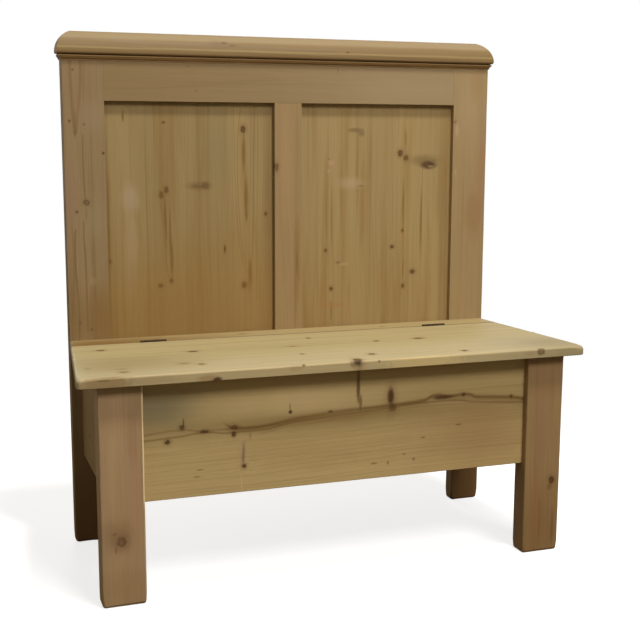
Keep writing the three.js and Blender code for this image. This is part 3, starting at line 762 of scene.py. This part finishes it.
pine(
    "front_apron", "xz", (185, 160, 109), (147, 117, 67),
    seed=51.0, ring=8.0, pith=(0.02, 0.05), taper=0.012, contrast=0.11,
    knots=[
        (182, 427.8, 4.6, 4.8), (167.4, 442.4, 4, 5), (204.4, 431.7, 3.2, 8), (234.4, 427.4, 4.4, 7),
        (233.8, 434, 5, 4), (244, 465.9, 4.2, 4.4), (511, 396, 3.2, 3.4), (463.5, 394.6, 3.4, 4),
    ],
    lines=[
        ([(143.8, 436), (161, 433), (182, 430.4), (204, 431.4), (232, 428.6)], 2.6, 0.4),
        ([(230, 427), (252.5, 427.6), (266, 425.6), (280, 422.4), (300, 418), (320, 414.4), (339, 411.4),
          (390.3, 405.4), (424.8, 400.3), (436.9, 395.2), (450.7, 396), (464.5, 394.3), (476.5, 396.9),
          (511, 396.9), (523, 398.6)], 5, 0.75),
        ([(143.8, 441.4), (182, 436.6), (203, 433), (232.5, 433), (240, 431.8), (260, 430), (280, 425.4),
          (295, 421.6), (315, 418.4), (339, 414.8), (370, 411), (424.8, 402.6), (450.7, 400.3),
          (471.4, 401.6), (523, 402)], 2.8, 0.5),
        ([(232, 430), (262.4, 428.4), (293, 420.6), (339, 413), (392, 406.8), (424.8, 401.6),
          (441, 397.8), (455, 397.6), (523, 400)], 10, 0.3),
        ([(260, 434), (300, 425), (350, 417), (400, 409), (440, 405), (523, 408)], 1.6, 0.18),
        ([(143.8, 447), (240, 441), (330, 431), (420, 423), (523, 416)], 1.4, 0.12),
    ],
    layers=[
        veil(162, 408, 34, 70, (126, 118, 90), 0.8), veil(480, 436, 80, 150, (152, 116, 74), 0.6),
        # the pale veil along the upper middle is painted light that lifts the lid's shadow there
        veil(300, 401, 26, 190, (216, 188, 134), 0.8), smudge(358.4, 386, 36, 5, KNOT_CORE, 0.8),
        smudge(360.6, 402, 18, 4, KNOT_CORE, 0.6), veil(391, 400, 36, 14, (132, 100, 64), 0.5),
        smudge(391, 396, 22, 8.5, KNOT_CORE, 0.95), smudge(392.5, 408, 10, 11, KNOT_CORE, 0.75),
        smudge(443, 397.2, 6, 26, KNOT_CORE, 0.9), veil(330, 417, 12, 240, (140, 108, 58), 0.5),
        smudge(243, 454, 34, 9, (176, 146, 118), 0.45), smudge(243.2, 455, 24, 4.4, KNOT_CORE, 0.5),
        smudge(244.2, 466, 4.4, 4.4, KNOT_CORE, 0.8), smudge(290.4, 412, 4.6, 4.6, KNOT_CORE, 0.95),
        smudge(330.5, 411.4, 3, 7, KNOT_CORE, 0.7), smudge(241.6, 448, 20, 3, (190, 166, 124), 0.6),
        smudge(241.6, 484, 24, 1.6, (200, 176, 132), 0.6), smudge(183.4, 423, 9, 2, KNOT_CORE, 0.6),
        smudge(290, 407, 9, 2, KNOT_CORE, 0.5), smudge(250.3, 436, 8, 3, KNOT_CORE, 0.3),
        smudge(334, 440, 60, 260, AMBER, 0.12),
        *(smudge(*mark, KNOT_CORE, 0.55) for mark in (
            (458.4, 424.5, 2.2, 8), (413.6, 459, 4.4, 4), (423.1, 437.4, 2.2, 6), (387.8, 462.8, 4.2, 2.4),
            (404.1, 454.1, 2.2, 5), (374, 463.4, 2.2, 8), (197, 477, 2, 9), (200, 470, 1.8, 9),
        )),
    ],
)
for side, seed, pith, depth, corner, knot in (
    ("left", 61.0, 0.03, 0.05, 0, -0.02), ("right", 66.0, -0.02, -0.05, 1, 0.05),
):
    pine(
        f"side_apron_{side}", "yz", (146, 119, 75), (116, 88, 46),
        seed=seed, ring=5.0, pith=(pith, depth), taper=0.02, contrast=0.42,
        level=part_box(f"side_apron_{side}")[corner].x,
        own_knots=[(knot, 0.33, 8 * MM, 6 * MM), (knot + 0.11, 0.27, 4 * MM, 3 * MM)],
    )


# Pine of the seat
def seam_shade(p, under):
    """Painted shade along the seam between the strip and the lid."""
    patchy = p.cloud(p.vector(p.x * 6.0, 0.0, 1.0), detail=3.0).ramp(0.25, 0.6)
    near = abs(p.y - hinge_y).ramp(4.2 * MM, 1.6 * MM)
    return p.blend(near * (patchy * 0.4 + 0.45), under, KNOT_RIM)


def toward_joint(p, under):
    """The front board darkens towards the rear one."""
    drift = p.cloud(p.vector(p.x * 3.0, p.y * 8.0, 2.0)) - 0.5
    depth = p.y + drift * 0.08
    return p.blend(depth.ramp(lid_y + 0.03, lid_joint_y + 0.02) * 0.9, under, REAR_TONE)


pine(
    "lid_board_front", "xy", (172, 158, 121), (144, 124, 82),
    seed=71.0, ring=6.0, pith=(0.02, -0.07), taper=0.012, contrast=0.24, level=seat_z,
    knots=[
        (87.6, 368.8, 6, 5), (121.2, 369.1, 5, 9), (123.8, 372.1, 6.4, 8), (184.1, 363.4, 6, 10),
        (201.4, 364, 7, 6), (371.7, 354, 7, 7), (464.4, 350.5, 6, 6), (302.2, 354, 6, 4),
        (357.6, 359.8, 12, 8),
    ],
    knot_strength=0.9,
    layers=[
        toward_joint,
        on_edge(330, 368, 560, 60, (176, 150, 100), 0.4), on_edge(208, 378.6, 22, 8, (140, 108, 66), 0.5),
        on_edge(217, 380, 10, 7, (70, 46, 22), 0.95), on_edge(304, 365.4, 4, 3, KNOT_RIM, 0.7),
        on_edge(296, 368, 16, 7, (160, 130, 88), 0.45), on_edge(356.6, 363.4, 18, 9, KNOT_CORE, 0.5),
        on_edge(357.8, 361.8, 8.5, 7, KNOT_RIM, 0.9), on_edge(379.3, 361.4, 3, 3, KNOT_RIM, 0.6),
        on_edge(541.3, 351.6, 11, 9, KNOT_CORE, 0.95), on_edge(541.3, 351.6, 4.4, 4, (150, 116, 84), 0.6),
        on_edge(530, 353, 16, 5, (160, 130, 92), 0.5), on_edge(106, 384, 56, 20, (136, 108, 64), 0.7),
        on_edge(104, 381, 14, 1.8, KNOT_RIM, 0.45), on_edge(150, 381, 60, 7, (160, 138, 100), 0.45),
        on_edge(424, 362, 90, 14, (208, 182, 124), 0.5), smudge(109, 377.4, 3, 22, HAND_DARK, 0.3),
        veil(116, 364, 90, 160, (146, 130, 90), 0.9), veil(548, 342, 80, 130, (142, 126, 90), 0.95),
        smudge(528, 341.4, 7, 8, (168, 138, 104), 0.5),
    ],
)
pine(
    "lid_board_rear", "xy", REAR_TONE, REAR_LATE,
    seed=76.0, ring=6.0, pith=(-0.01, -0.06), taper=-0.012, contrast=0.26, level=seat_z,
    layers=[seam_shade],
    knots=[
        (100.5, 350.5, 6, 8), (192.8, 351.4, 6, 10), (199.7, 356.2, 5, 9), (294.5, 347.2, 10, 11),
        (279.3, 353.6, 7, 5), (308.3, 338.1, 6, 4), (418.5, 338.3, 8, 10), (425.2, 341.9, 7, 10),
        (393.7, 343.5, 7, 6), (376.5, 341, 6, 5), (484, 345.8, 7, 5),
    ],
)
pine(
    "seat_strip", "xy", (154, 135, 92), REAR_LATE,
    seed=81.0, ring=6.0, pith=(0.03, -0.05), taper=0.01, contrast=0.26, level=seat_z, knot_strength=0.4,
    layers=[seam_shade, veil(106, 344, 60, 260, (112, 84, 40), 0.95)],
    own_knots=[(-0.12, 0.155, 8 * MM, 4 * MM), (0.22, 0.148, 5 * MM, 3 * MM)],
)

# Pine inside
INSIDE = ((174, 150, 108), (140, 110, 68))
for node, run, seed in (("floor_ledger_rear", "xz", 91.0), ("glue_block_front_left", "zx", 93.0)):
    pine(node, run, *INSIDE, seed=seed, ring=3.0, pith=(0.03, 0.03), taper=0.01, contrast=0.45)
for i in range(1, 7):
    node = f"floor_board_{i}"
    lo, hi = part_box(node)
    pine(
        node, "yx", *INSIDE, seed=100.0 + 3.7 * i, ring=4.5,
        pith=(0.02 * (-1) ** i, -0.04 - 0.01 * (i % 3)), taper=0.02, contrast=0.5, level=hi.z,
        own_knots=[(0.04 * ((i * 5) % 7 - 3), lo.x + (0.03 + 0.02 * (i % 4)), 7 * MM, 5 * MM)],
    )
for side, seed in (("left", 131.0), ("right", 135.0)):
    node = f"lid_batten_{side}"
    pine(node, "yx", *INSIDE, seed=seed, ring=3.5, pith=(0.02, 0.03), taper=0.015, contrast=0.45)


# Solids that keep their shape and take a finish
def finish_nodes(material, *names):
    for name in names:
        for held in nodes[name].material_slots:
            held.material = material


for name in (
    "back_panel_left", "back_panel_right", "lid_board_rear", "seat_strip", "lid_batten_left",
    "lid_batten_right", *(f"floor_board_{i}" for i in range(1, 7)),
):
    finish_nodes(pines[name], name)
finish_nodes(pines["floor_ledger_rear"], "floor_ledger_front", "floor_ledger_rear", "seat_bearer")
for side, _ in SIDES:
    finish_nodes(pines["glue_block_front_left"], f"glue_block_front_{side}", f"glue_block_rear_{side}")
    finish_nodes(hinge_steel, *(f"hinge_{side}_{part}" for part in ("fixed_leaf", "lid_leaf", "pin")))


# Boards with worn edges
SHARP = 0.15  # arris in mm where a board meets another
HANDLED = 1.4  # and where hands and feet reach it
LEG_ARRIS = 3.2
WORN_FOOT = 7.0
FOOT_WIDTH = 72 * MM
FOOT_SHOULDER = 16 * MM  # how far the notch above a back foot runs up to the box
AT_EDGE = 2 * MM  # how near to an end or edge an outline's point counts as on it


def arris_where(test, outside):
    return lambda point: outside if test(point) else SHARP


def stile_arris(point):
    if point.y < AT_EDGE:
        return WORN_FOOT
    if abs(point.x) > half - AT_EDGE or point.y < box_low:
        return HANDLED
    return 0.55 if rail_high < point.y < rail_low else SHARP


def leg_arris(point):
    if point.y < AT_EDGE:
        return WORN_FOOT
    return LEG_ARRIS if point.y < box_high - AT_EDGE else 1.0


foot_inner = half - FOOT_WIDTH
stile_outline = [
    (half, 0.0), (half, frame_top), (stile_inner, frame_top), (stile_inner, box_low),
    (foot_inner, box_low - FOOT_SHOULDER), (foot_inner, 0.0),
]
rail_end = stile_inner - SHARP * MM
rail_arris = arris_where(lambda p: abs(p.x) < rail_end - AT_EDGE, 0.7)
apron_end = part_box("front_leg_right")[0].x - SHARP * MM
apron_arris = arris_where(lambda p: p.y < box_low + AT_EDGE, 1.5)
side_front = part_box("front_leg_left")[1].y + SHARP * MM
side_back = face_y - SHARP * MM

for side, sign in SIDES:
    board(
        f"worn_stile_{side}", f"back_stile_{side}", "frame_pine", [(sign * x, z) for x, z in stile_outline],
        (9, 0.8, 0.8, 6, 10, 9), stile_arris, sign * 3.0,
    )
for name, z0, z1 in (("top_rail", rail_low, frame_top), ("bottom_rail", box_low, rail_high)):
    board(
        f"worn_{name}", f"back_{name}", "frame_pine", rectangle(-rail_end, rail_end, z0, z1),
        (0.6,) * 4, rail_arris, z0 * 10,
    )
board(
    "worn_muntin", "back_muntin", "frame_pine",
    rectangle(-muntin_half, muntin_half, rail_high + SHARP * MM, rail_low - SHARP * MM), (0.6,) * 4,
    arris_where(lambda p: abs(p.x) > muntin_half - AT_EDGE, 0.7), 4.4,
)
for side, _ in SIDES:
    lo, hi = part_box(f"front_leg_{side}")
    board(
        f"worn_leg_{side}", f"front_leg_{side}", "leg_pine", rectangle(lo.x, hi.x, lo.z, hi.z),
        (7, 7, 1, 1), leg_arris, lo.x * 7, wear=0.25,
    )
board(
    "worn_front_apron", "front_apron", "box_pine", rectangle(-apron_end, apron_end, box_low, box_high),
    (0.8,) * 4, apron_arris, 8.8,
)
for side, _ in SIDES:
    node = f"side_apron_{side}"
    board(
        f"worn_{node}", node, "box_pine", rectangle(side_front, side_back, box_low, box_high),
        (0.8,) * 4, apron_arris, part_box(node)[1].x * 5, lay="yzx",
    )

# Lid: the front board has the rounded corners that show most
LID_CORNER = 13  # and the other sizes of its wear, in mm
LID_ARRIS = 4.5
CORNER_WEAR = 4.0
CORNER_REACH = 36
flare = (lid_hi.x - half) / (face_y - lid_y - LID_CORNER * MM)
front_half = half + flare * (face_y - lid_y) - 0.02 * MM
joint_half = half + flare * (face_y - lid_joint_y)


def lid_arris(point):
    """Rounder towards the two front corners."""
    if point.y > lid_joint_y - AT_EDGE:
        return SHARP
    from_corner = abs(abs(point.x) - front_half) + point.y - lid_y
    return LID_ARRIS + CORNER_WEAR * max(0.0, 1 - from_corner / (CORNER_REACH * MM))


board(
    "worn_lid_front", "lid_board_front", "seat_pine",
    [(-front_half, lid_y), (front_half, lid_y), (joint_half, lid_joint_y), (-joint_half, lid_joint_y)],
    (LID_CORNER, LID_CORNER, 0.6, 0.6), lid_arris, 2.2, lay="xyz", body="lid", wear=0.15, under=0.3,
)


# Geometry Nodes
def evaluated(made):
    """The mesh of an object with its modifiers applied."""
    graph = bpy.context.evaluated_depsgraph_get()
    mesh = bpy.data.meshes.new_from_object(made.evaluated_get(graph))
    made.modifiers.clear()
    return mesh


class Tree(Graph):
    """A Geometry Nodes tree whose named inputs follow the geometry that it is put on."""

    def __init__(self, name, **inputs):
        super().__init__(bpy.data.node_groups.new(name, "GeometryNodeTree"))
        face = self.tree.interface
        for way in ("INPUT", "OUTPUT"):
            face.new_socket("Geometry", in_out=way, socket_type="NodeSocketGeometry")
        self.keys = {}
        for label, kind in inputs.items():
            made = face.new_socket(label, in_out="INPUT", socket_type="NodeSocket" + kind)
            self.keys[label] = made.identifier
        self.given = self.node("NodeGroupInput").outputs

    def math(self, operation, *values, kind="ShaderNodeMath"):
        return self.out(kind, {"operation": operation}, dict(enumerate(values)))

    def end(self, geometry):
        """Every tree ends with real geometry in one material."""
        real = self.out("GeometryNodeRealizeInstances", values={0: geometry})
        values = {"Geometry": real, "Material": self.given["Material"]}
        self.node("NodeGroupOutput", values={0: self.out("GeometryNodeSetMaterial", values=values)})

    def grow(self, name, start_mesh, place=None, **values):
        """Puts the tree on a mesh and returns the result as a plain object."""
        seedling = new_object(name + "_start", start_mesh)
        modifier = seedling.modifiers.new("nodes", "NODES")
        modifier.node_group = self.tree
        for label, value in values.items():
            modifier[self.keys[label]] = value
        mesh = evaluated(seedling)
        bpy.data.objects.remove(seedling)
        mesh.name = name
        bm = bmesh.new()
        bm.from_mesh(mesh)
        if place is not None:
            bm.transform(place)
        bmesh.ops.recalc_face_normals(bm, faces=bm.faces)
        bm.to_mesh(mesh)
        bm.free()
        smooth(mesh, angle=35)
        return new_object(name, mesh)


def moulding_tree():
    """Sweeps a section along a straight run, with a mitre at either end, and wears it a little."""
    t = Tree(
        "moulding", Start="Float", End="Float", StartMitre="Float", EndMitre="Float",
        Stations="Int", Wear="Float", Material="Material",
    )
    given = t.given
    section = t.out("GeometryNodeMeshToCurve", values={0: given["Geometry"]})
    line = t.out("GeometryNodeCurvePrimitiveLine", values={"Start": (0, 0, 0), "End": (1, 0, 0)})
    run = t.out("GeometryNodeResampleCurve", values={"Curve": line, "Count": given["Stations"]})
    values = {"Curve": run, "Profile Curve": section, "Fill Caps": True}
    swept = t.out("GeometryNodeCurveToMesh", values=values)
    split = t.node("ShaderNodeSeparateXYZ", values={0: t.out("GeometryNodeInputPosition")})
    along, back, up = split.outputs
    first = t.math("MULTIPLY_ADD", given["StartMitre"], back, given["Start"])
    last = t.math("MULTIPLY_ADD", given["EndMitre"], back, given["End"])
    reach = t.math("MULTIPLY_ADD", t.math("SUBTRACT", last, first), along, first)
    spot = t.out("ShaderNodeCombineXYZ", values={0: reach, 1: back, 2: up})
    rough = t.node("ShaderNodeTexNoise", values={"Vector": spot, "Scale": 45.0, "Detail": 2.0})
    centred = t.math("SUBTRACT", rough.outputs["Color"], (0.5, 0.5, 0.5), kind="ShaderNodeVectorMath")
    values = {0: centred, "Scale": given["Wear"]}
    dent = t.out("ShaderNodeVectorMath", {"operation": "SCALE"}, values)
    worn = t.math("MULTIPLY_ADD", dent, (0, 1, 1), spot, kind="ShaderNodeVectorMath")
    t.end(t.out("GeometryNodeSetPosition", values={"Geometry": swept, "Position": worn}))
    return t


def fixing_tree():
    """Sets a screw or nail at each point, each turned its own way about its shank."""
    t = Tree("fixings", Fixing="Object", Facing="Rotation", Turn="Float", Seed="Int", Material="Material")
    given = t.given
    held = t.node("GeometryNodeObjectInfo", values={"Object": given["Fixing"]})
    values = {"Seed": given["Seed"], 3: given["Turn"]}
    angle = t.node("FunctionNodeRandomValue", {"data_type": "FLOAT"}, values).outputs[1]
    own = t.out("ShaderNodeCombineXYZ", values={2: angle})
    turned = t.out("FunctionNodeEulerToRotation", values={0: own})
    values = {"Rotation": given["Facing"], "Rotate By": turned}
    faced = t.out("FunctionNodeRotateRotation", {"rotation_space": "LOCAL"}, values)
    values = {"Points": given["Geometry"], "Instance": held.outputs["Geometry"], "Rotation": faced}
    t.end(t.out("GeometryNodeInstanceOnPoints", values=values))
    return t


moulding = moulding_tree()
fixings = fixing_tree()


def wire(name, points, closed=True):
    """A mesh of points, joined in a ring for a section or left loose for places."""
    mesh = bpy.data.meshes.new(name)
    count = len(points)
    edges = [(i, (i + 1) % count) for i in range(count)] if closed else []
    mesh.from_pydata([tuple(p) for p in points], edges, [])
    return mesh


# Mouldings: u runs back from the face of the frame, v is the height
MITRE_GAP = 0.15 * MM
OVOLO_RADIUS = 46.7 * MM
NOSE_RADIUS = 4.2 * MM
OVOLO_STEPS = 22
NOSE_STEPS = 5
HOLLOW_STEPS = 10
WEAR = 0.5 * MM
frame_depth = back_y - face_y


def cornice_section(deepest):
    """A round face under a flat top. It is drawn small by the wear, which swells it again."""
    lo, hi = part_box("cornice_front")
    nose = lo.y - face_y + WEAR / 2
    top = hi.z - WEAR / 2
    middle = lo.z + NOSE_RADIUS
    arris_turn = math.asin((top - middle) / OVOLO_RADIUS)
    points = [(deepest, lo.z), (deepest, top)]
    arcs = [(OVOLO_RADIUS, arris_turn * (1 - i / OVOLO_STEPS)) for i in range(OVOLO_STEPS + 1)]
    arcs += [(NOSE_RADIUS, -math.pi / 2 * i / NOSE_STEPS) for i in range(1, NOSE_STEPS + 1)]
    for radius, turn in arcs:
        points.append((nose + radius * (1 - math.cos(turn)), middle + radius * math.sin(turn)))
    return points


def bead_section(_deepest):
    """A small hollow moulding with a groove above and below."""
    lo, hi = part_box("bead_front")
    reach = lo.y - face_y + WEAR / 2
    back = -0.3 * MM
    edge = hi.z - 1.4 * MM
    upper = Vector((reach, edge - 2.4 * MM))
    lower = Vector((-1.6 * MM, lo.z + 1.4 * MM))
    bend = Vector((lower.x - 2 * MM, upper.y - 2 * MM))
    points = [(back, lo.z), (back, hi.z), (reach + 2.5 * MM, hi.z), (reach + 2.5 * MM, edge), (reach, edge)]
    for i in range(HOLLOW_STEPS + 1):
        share = i / HOLLOW_STEPS
        points.append(tuple(upper.lerp(bend, share).lerp(bend.lerp(lower, share), share)))
    points += [(back - 0.8 * MM, lower.y), (back - 0.8 * MM, lo.z)]
    return points


def run_moulding(name, section):
    """One length along the front and a short mitred return at each end."""
    def swept(node, deepest, place, wood, **sizes):
        piece_name = "moulded_" + node
        # the sweep lays a section's axes the other way round
        start = wire(piece_name + "_section", [(-u, -v, 0) for u, v in section(deepest)])
        piece = moulding.grow(piece_name, start, place=place, Wear=WEAR, Material=pines[wood], **sizes)
        dress(piece, "bench", "frame_pine", node)

    to_bench = Matrix.Translation((0, face_y, 0))
    end = half - MITRE_GAP
    swept(
        f"{name}_front", frame_depth - WEAR / 2, to_bench, f"{name}_front",
        Start=-end, End=end, StartMitre=1.0, EndMitre=-1.0, Stations=120,
    )
    for side, sign in SIDES:
        place = Matrix(((0, -sign, 0, sign * half), (1, 0, 0, face_y), (0, 0, 1, 0), (0, 0, 0, 1)))
        swept(
            f"{name}_return_{side}", frame_depth - 1 * MM, place, "cornice_return_right",
            Start=MITRE_GAP, End=frame_depth, StartMitre=1.0, EndMitre=0.0, Stations=8,
        )


run_moulding("cornice", cornice_section)
run_moulding("bead", bead_section)

# Screws and nails
SCREW_SIDES = 24


def lathe(profile):
    """A closed solid turned about Z from (radius, height) pairs that start and end on the axis."""
    bm = bmesh.new()
    rings = []
    for radius, height in profile:
        turns = [2 * math.pi * k / SCREW_SIDES for k in range(SCREW_SIDES if radius else 1)]
        rings.append([bm.verts.new((radius * math.cos(a), radius * math.sin(a), height)) for a in turns])
    for lower, upper in zip(rings, rings[1:]):
        for k in range(SCREW_SIDES):
            j = (k + 1) % SCREW_SIDES
            corners = [ring[i % len(ring)] for ring, i in ((lower, k), (lower, j), (upper, j), (upper, k))]
            bm.faces.new(list(dict.fromkeys(corners)))
    bmesh.ops.recalc_face_normals(bm, faces=bm.faces)
    return bm


def slotted_screw(name, head, head_depth, shank, length):
    """A countersunk wood screw with a slot, its head at the origin and its point down. Sizes in mm."""
    profile = [
        (0, -length), (shank, -length + 2 * shank), (shank, -head_depth), (head * 0.97, -0.12),
        (head * 0.93, 0), (0, 0.08),
    ]
    turned = lathe([(radius * MM, height * MM) for radius, height in profile])
    body = new_object(name, mesh_from(name, turned))
    slot = bmesh.new()
    bmesh.ops.create_cube(slot, size=1)
    bmesh.ops.scale(slot, verts=slot.verts, vec=(head * 3 * MM, head * 0.26 * MM, head_depth * 1.1 * MM))
    cutter = new_object(name + "_slot", mesh_from(name + "_slot", slot))
    cut = body.modifiers.new("slot", "BOOLEAN")
    cut.object = cutter
    cut.operation = "DIFFERENCE"
    cut.solver = "EXACT"
    body.data = evaluated(body)
    bpy.data.objects.remove(cutter)
    return body


def cut_nail(name):
    """The head of a cut nail: a small worn oblong that stands just proud of the board."""
    bm = bmesh.new()
    bmesh.ops.create_cube(bm, size=1)
    bmesh.ops.scale(bm, verts=bm.verts, vec=(5.5 * MM, 2.8 * MM, 1.2 * MM))
    bmesh.ops.bevel(bm, geom=bm.edges[:], offset=0.45 * MM, segments=2, affect="EDGES")
    bmesh.ops.translate(bm, verts=bm.verts, vec=(0, 0, -0.3 * MM))
    return new_object(name, mesh_from(name, bm))


def fix(name, body, fixing, points, facing, turn, seed, replaced=()):
    """Sets one kind of screw or nail at each point. facing turns its shank from straight down."""
    places = wire(name + "_places", points, closed=False)
    piece = fixings.grow(
        name, places, Fixing=fixing, Facing=facing, Turn=turn, Seed=seed, Material=screw_steel,
    )
    dress(piece, body, "screw_steel", *replaced)


batten_screw = slotted_screw("batten_screw", head=4.2, head_depth=2.6, shank=2.1, length=31)
leaf_screw = slotted_screw("leaf_screw", head=2.9, head_depth=1.3, shank=1.5, length=16)
nail = cut_nail("cut_nail")
ANY_WAY = math.tau
for side_seed, (side, _) in enumerate(SIDES):
    for group, body, screw, count, facing, seed in (
        (f"batten_screw_{side}_", "lid", batten_screw, 2, math.pi, side_seed),
        (f"hinge_{side}_fixed_leaf_screw_", "bench", leaf_screw, 3, math.pi / 2, 10 + side_seed),
        (f"hinge_{side}_lid_leaf_screw_", "lid", leaf_screw, 3, -math.pi / 2, 10 + side_seed),
    ):
        names = [f"{group}{i}" for i in range(1, count + 1)]
        heads = []
        for name in names:
            lo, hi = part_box(name)
            middle = (lo + hi) / 2
            if screw is batten_screw:
                heads.append((middle.x, middle.y, lo.z))
            else:
                heads.append((middle.x, lo.y if body == "bench" else hi.y, middle.z))
        leaf = "lid_leaf" if body == "lid" else "fixed_leaf"
        piece_name = f"batten_screws_{side}" if screw is batten_screw else f"leaf_screws_{side}_{leaf}"
        fix(f"slotted_{piece_name}", body, screw, heads, (facing, 0, 0), ANY_WAY, seed, replaced=names)

nail_places = []
for i in range(1, 7):
    lo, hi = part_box(f"floor_board_{i}")
    for share in (0.22, 0.78):
        x = lo.x + (hi.x - lo.x) * share
        nail_places += [(x, lo.y + 8 * MM, hi.z), (x + 3 * MM, hi.y - 10 * MM, hi.z)]
fix("floor_nails", "bench", nail, nail_places, facing=(0, 0, 0), turn=0.5, seed=21)
for template in (batten_screw, leaf_screw, nail):
    bpy.data.objects.remove(template)

# Floor, light and background
FLOOR_LIFT = 0.76  # the paper shows white past the shadow
FLOOR_TONE = (106, 94, 76)  # what the bench is lit by from below
WORLD_TONE = (1.0, 0.92, 0.78, 1)
WORLD_LIGHT = 0.14
WHITE = (1, 1, 1, 1)


def make_floor():
    paper = Paint("floor_paper")
    seen = Field(paper, paper.node("LightPath").outputs["Is Camera Ray"])
    far = (paper.x * paper.x + paper.y * paper.y).root().ramp(0.9, 2.2)
    paper_tone = paper.blend(far, (188, 188, 186), (0, 0, 0, 1))
    plain = paper.out("BsdfDiffuse", values={"Color": paper.blend(seen, FLOOR_TONE, paper_tone)})
    glow = seen * (far * (1 - FLOOR_LIFT) + FLOOR_LIFT)
    lift = paper.out("Emission", values={"Color": WHITE, "Strength": glow})
    paper.node("OutputMaterial", values={0: paper.out("AddShader", values={0: plain, 1: lift})})
    bm = bmesh.new()
    bmesh.ops.create_grid(bm, x_segments=2, y_segments=2, size=9)
    bmesh.ops.translate(bm, verts=bm.verts, vec=(0, 0, -0.1 * MM))
    mesh = mesh_from("floor", bm)
    mesh.materials.append(paper.material)
    new_object("floor", mesh)


def make_world():
    """White to the camera, in reflections and through glass, and a soft warm light on the bench."""
    world = bpy.data.worlds.new("studio")
    world.use_nodes = True
    bpy.context.scene.world = world
    sky = Graph(world.node_tree, "ShaderNode")
    sky.tree.nodes.clear()
    path = sky.node("LightPath").outputs
    either = {"operation": "MAXIMUM"}
    seen = sky.out("Math", either, {0: path["Is Camera Ray"], 1: path["Is Glossy Ray"]})
    seen = sky.out("Math", either, {0: seen, 1: path["Is Transmission Ray"]})
    soft = sky.out("Background", values={"Color": WORLD_TONE, "Strength": WORLD_LIGHT})
    white = sky.out("Background", values={"Color": WHITE, "Strength": 1.0})
    mix = sky.out("MixShader", values={0: seen, 1: soft, 2: white})
    sky.node("OutputWorld", values={0: mix})


def soft_box(name, place, target, size, watts, colour):
    data = bpy.data.lights.new(name, "AREA")
    data.shape = "SQUARE"
    data.size = size
    data.energy = watts
    data.color = colour
    lamp = new_object(name, data)
    lamp.visible_camera = False
    lamp.location = place
    lamp.rotation_mode = "QUATERNION"
    lamp.rotation_quaternion = (Vector(target) - Vector(place)).to_track_quat("-Z", "Y")


make_floor()
make_world()
for name, place, target, size, watts, colour in (
    ("front_lamp", (1.2, -4.0, 4.5), (0, 0, 0.5), 1.6, 178, (1.0, 0.97, 0.93)),
    ("ceiling_lamp", (0.5, -1.3, 4.8), (0, 0, 0.5), 0.5, 166, (1.0, 0.98, 0.95)),
    ("left_fill", (-2.6, -0.9, 1.3), (-0.3, 0, 0.5), 1.4, 6, (1.0, 0.95, 0.86)),
    ("back_fill", (0, 3.2, 0.65), (0, 0.2, 0.6), 0.8, 48, (1.0, 0.98, 0.95)),
):
    soft_box(name, place, target, size, watts, colour)

bpy.context.scene.view_settings.view_transform = "Standard"
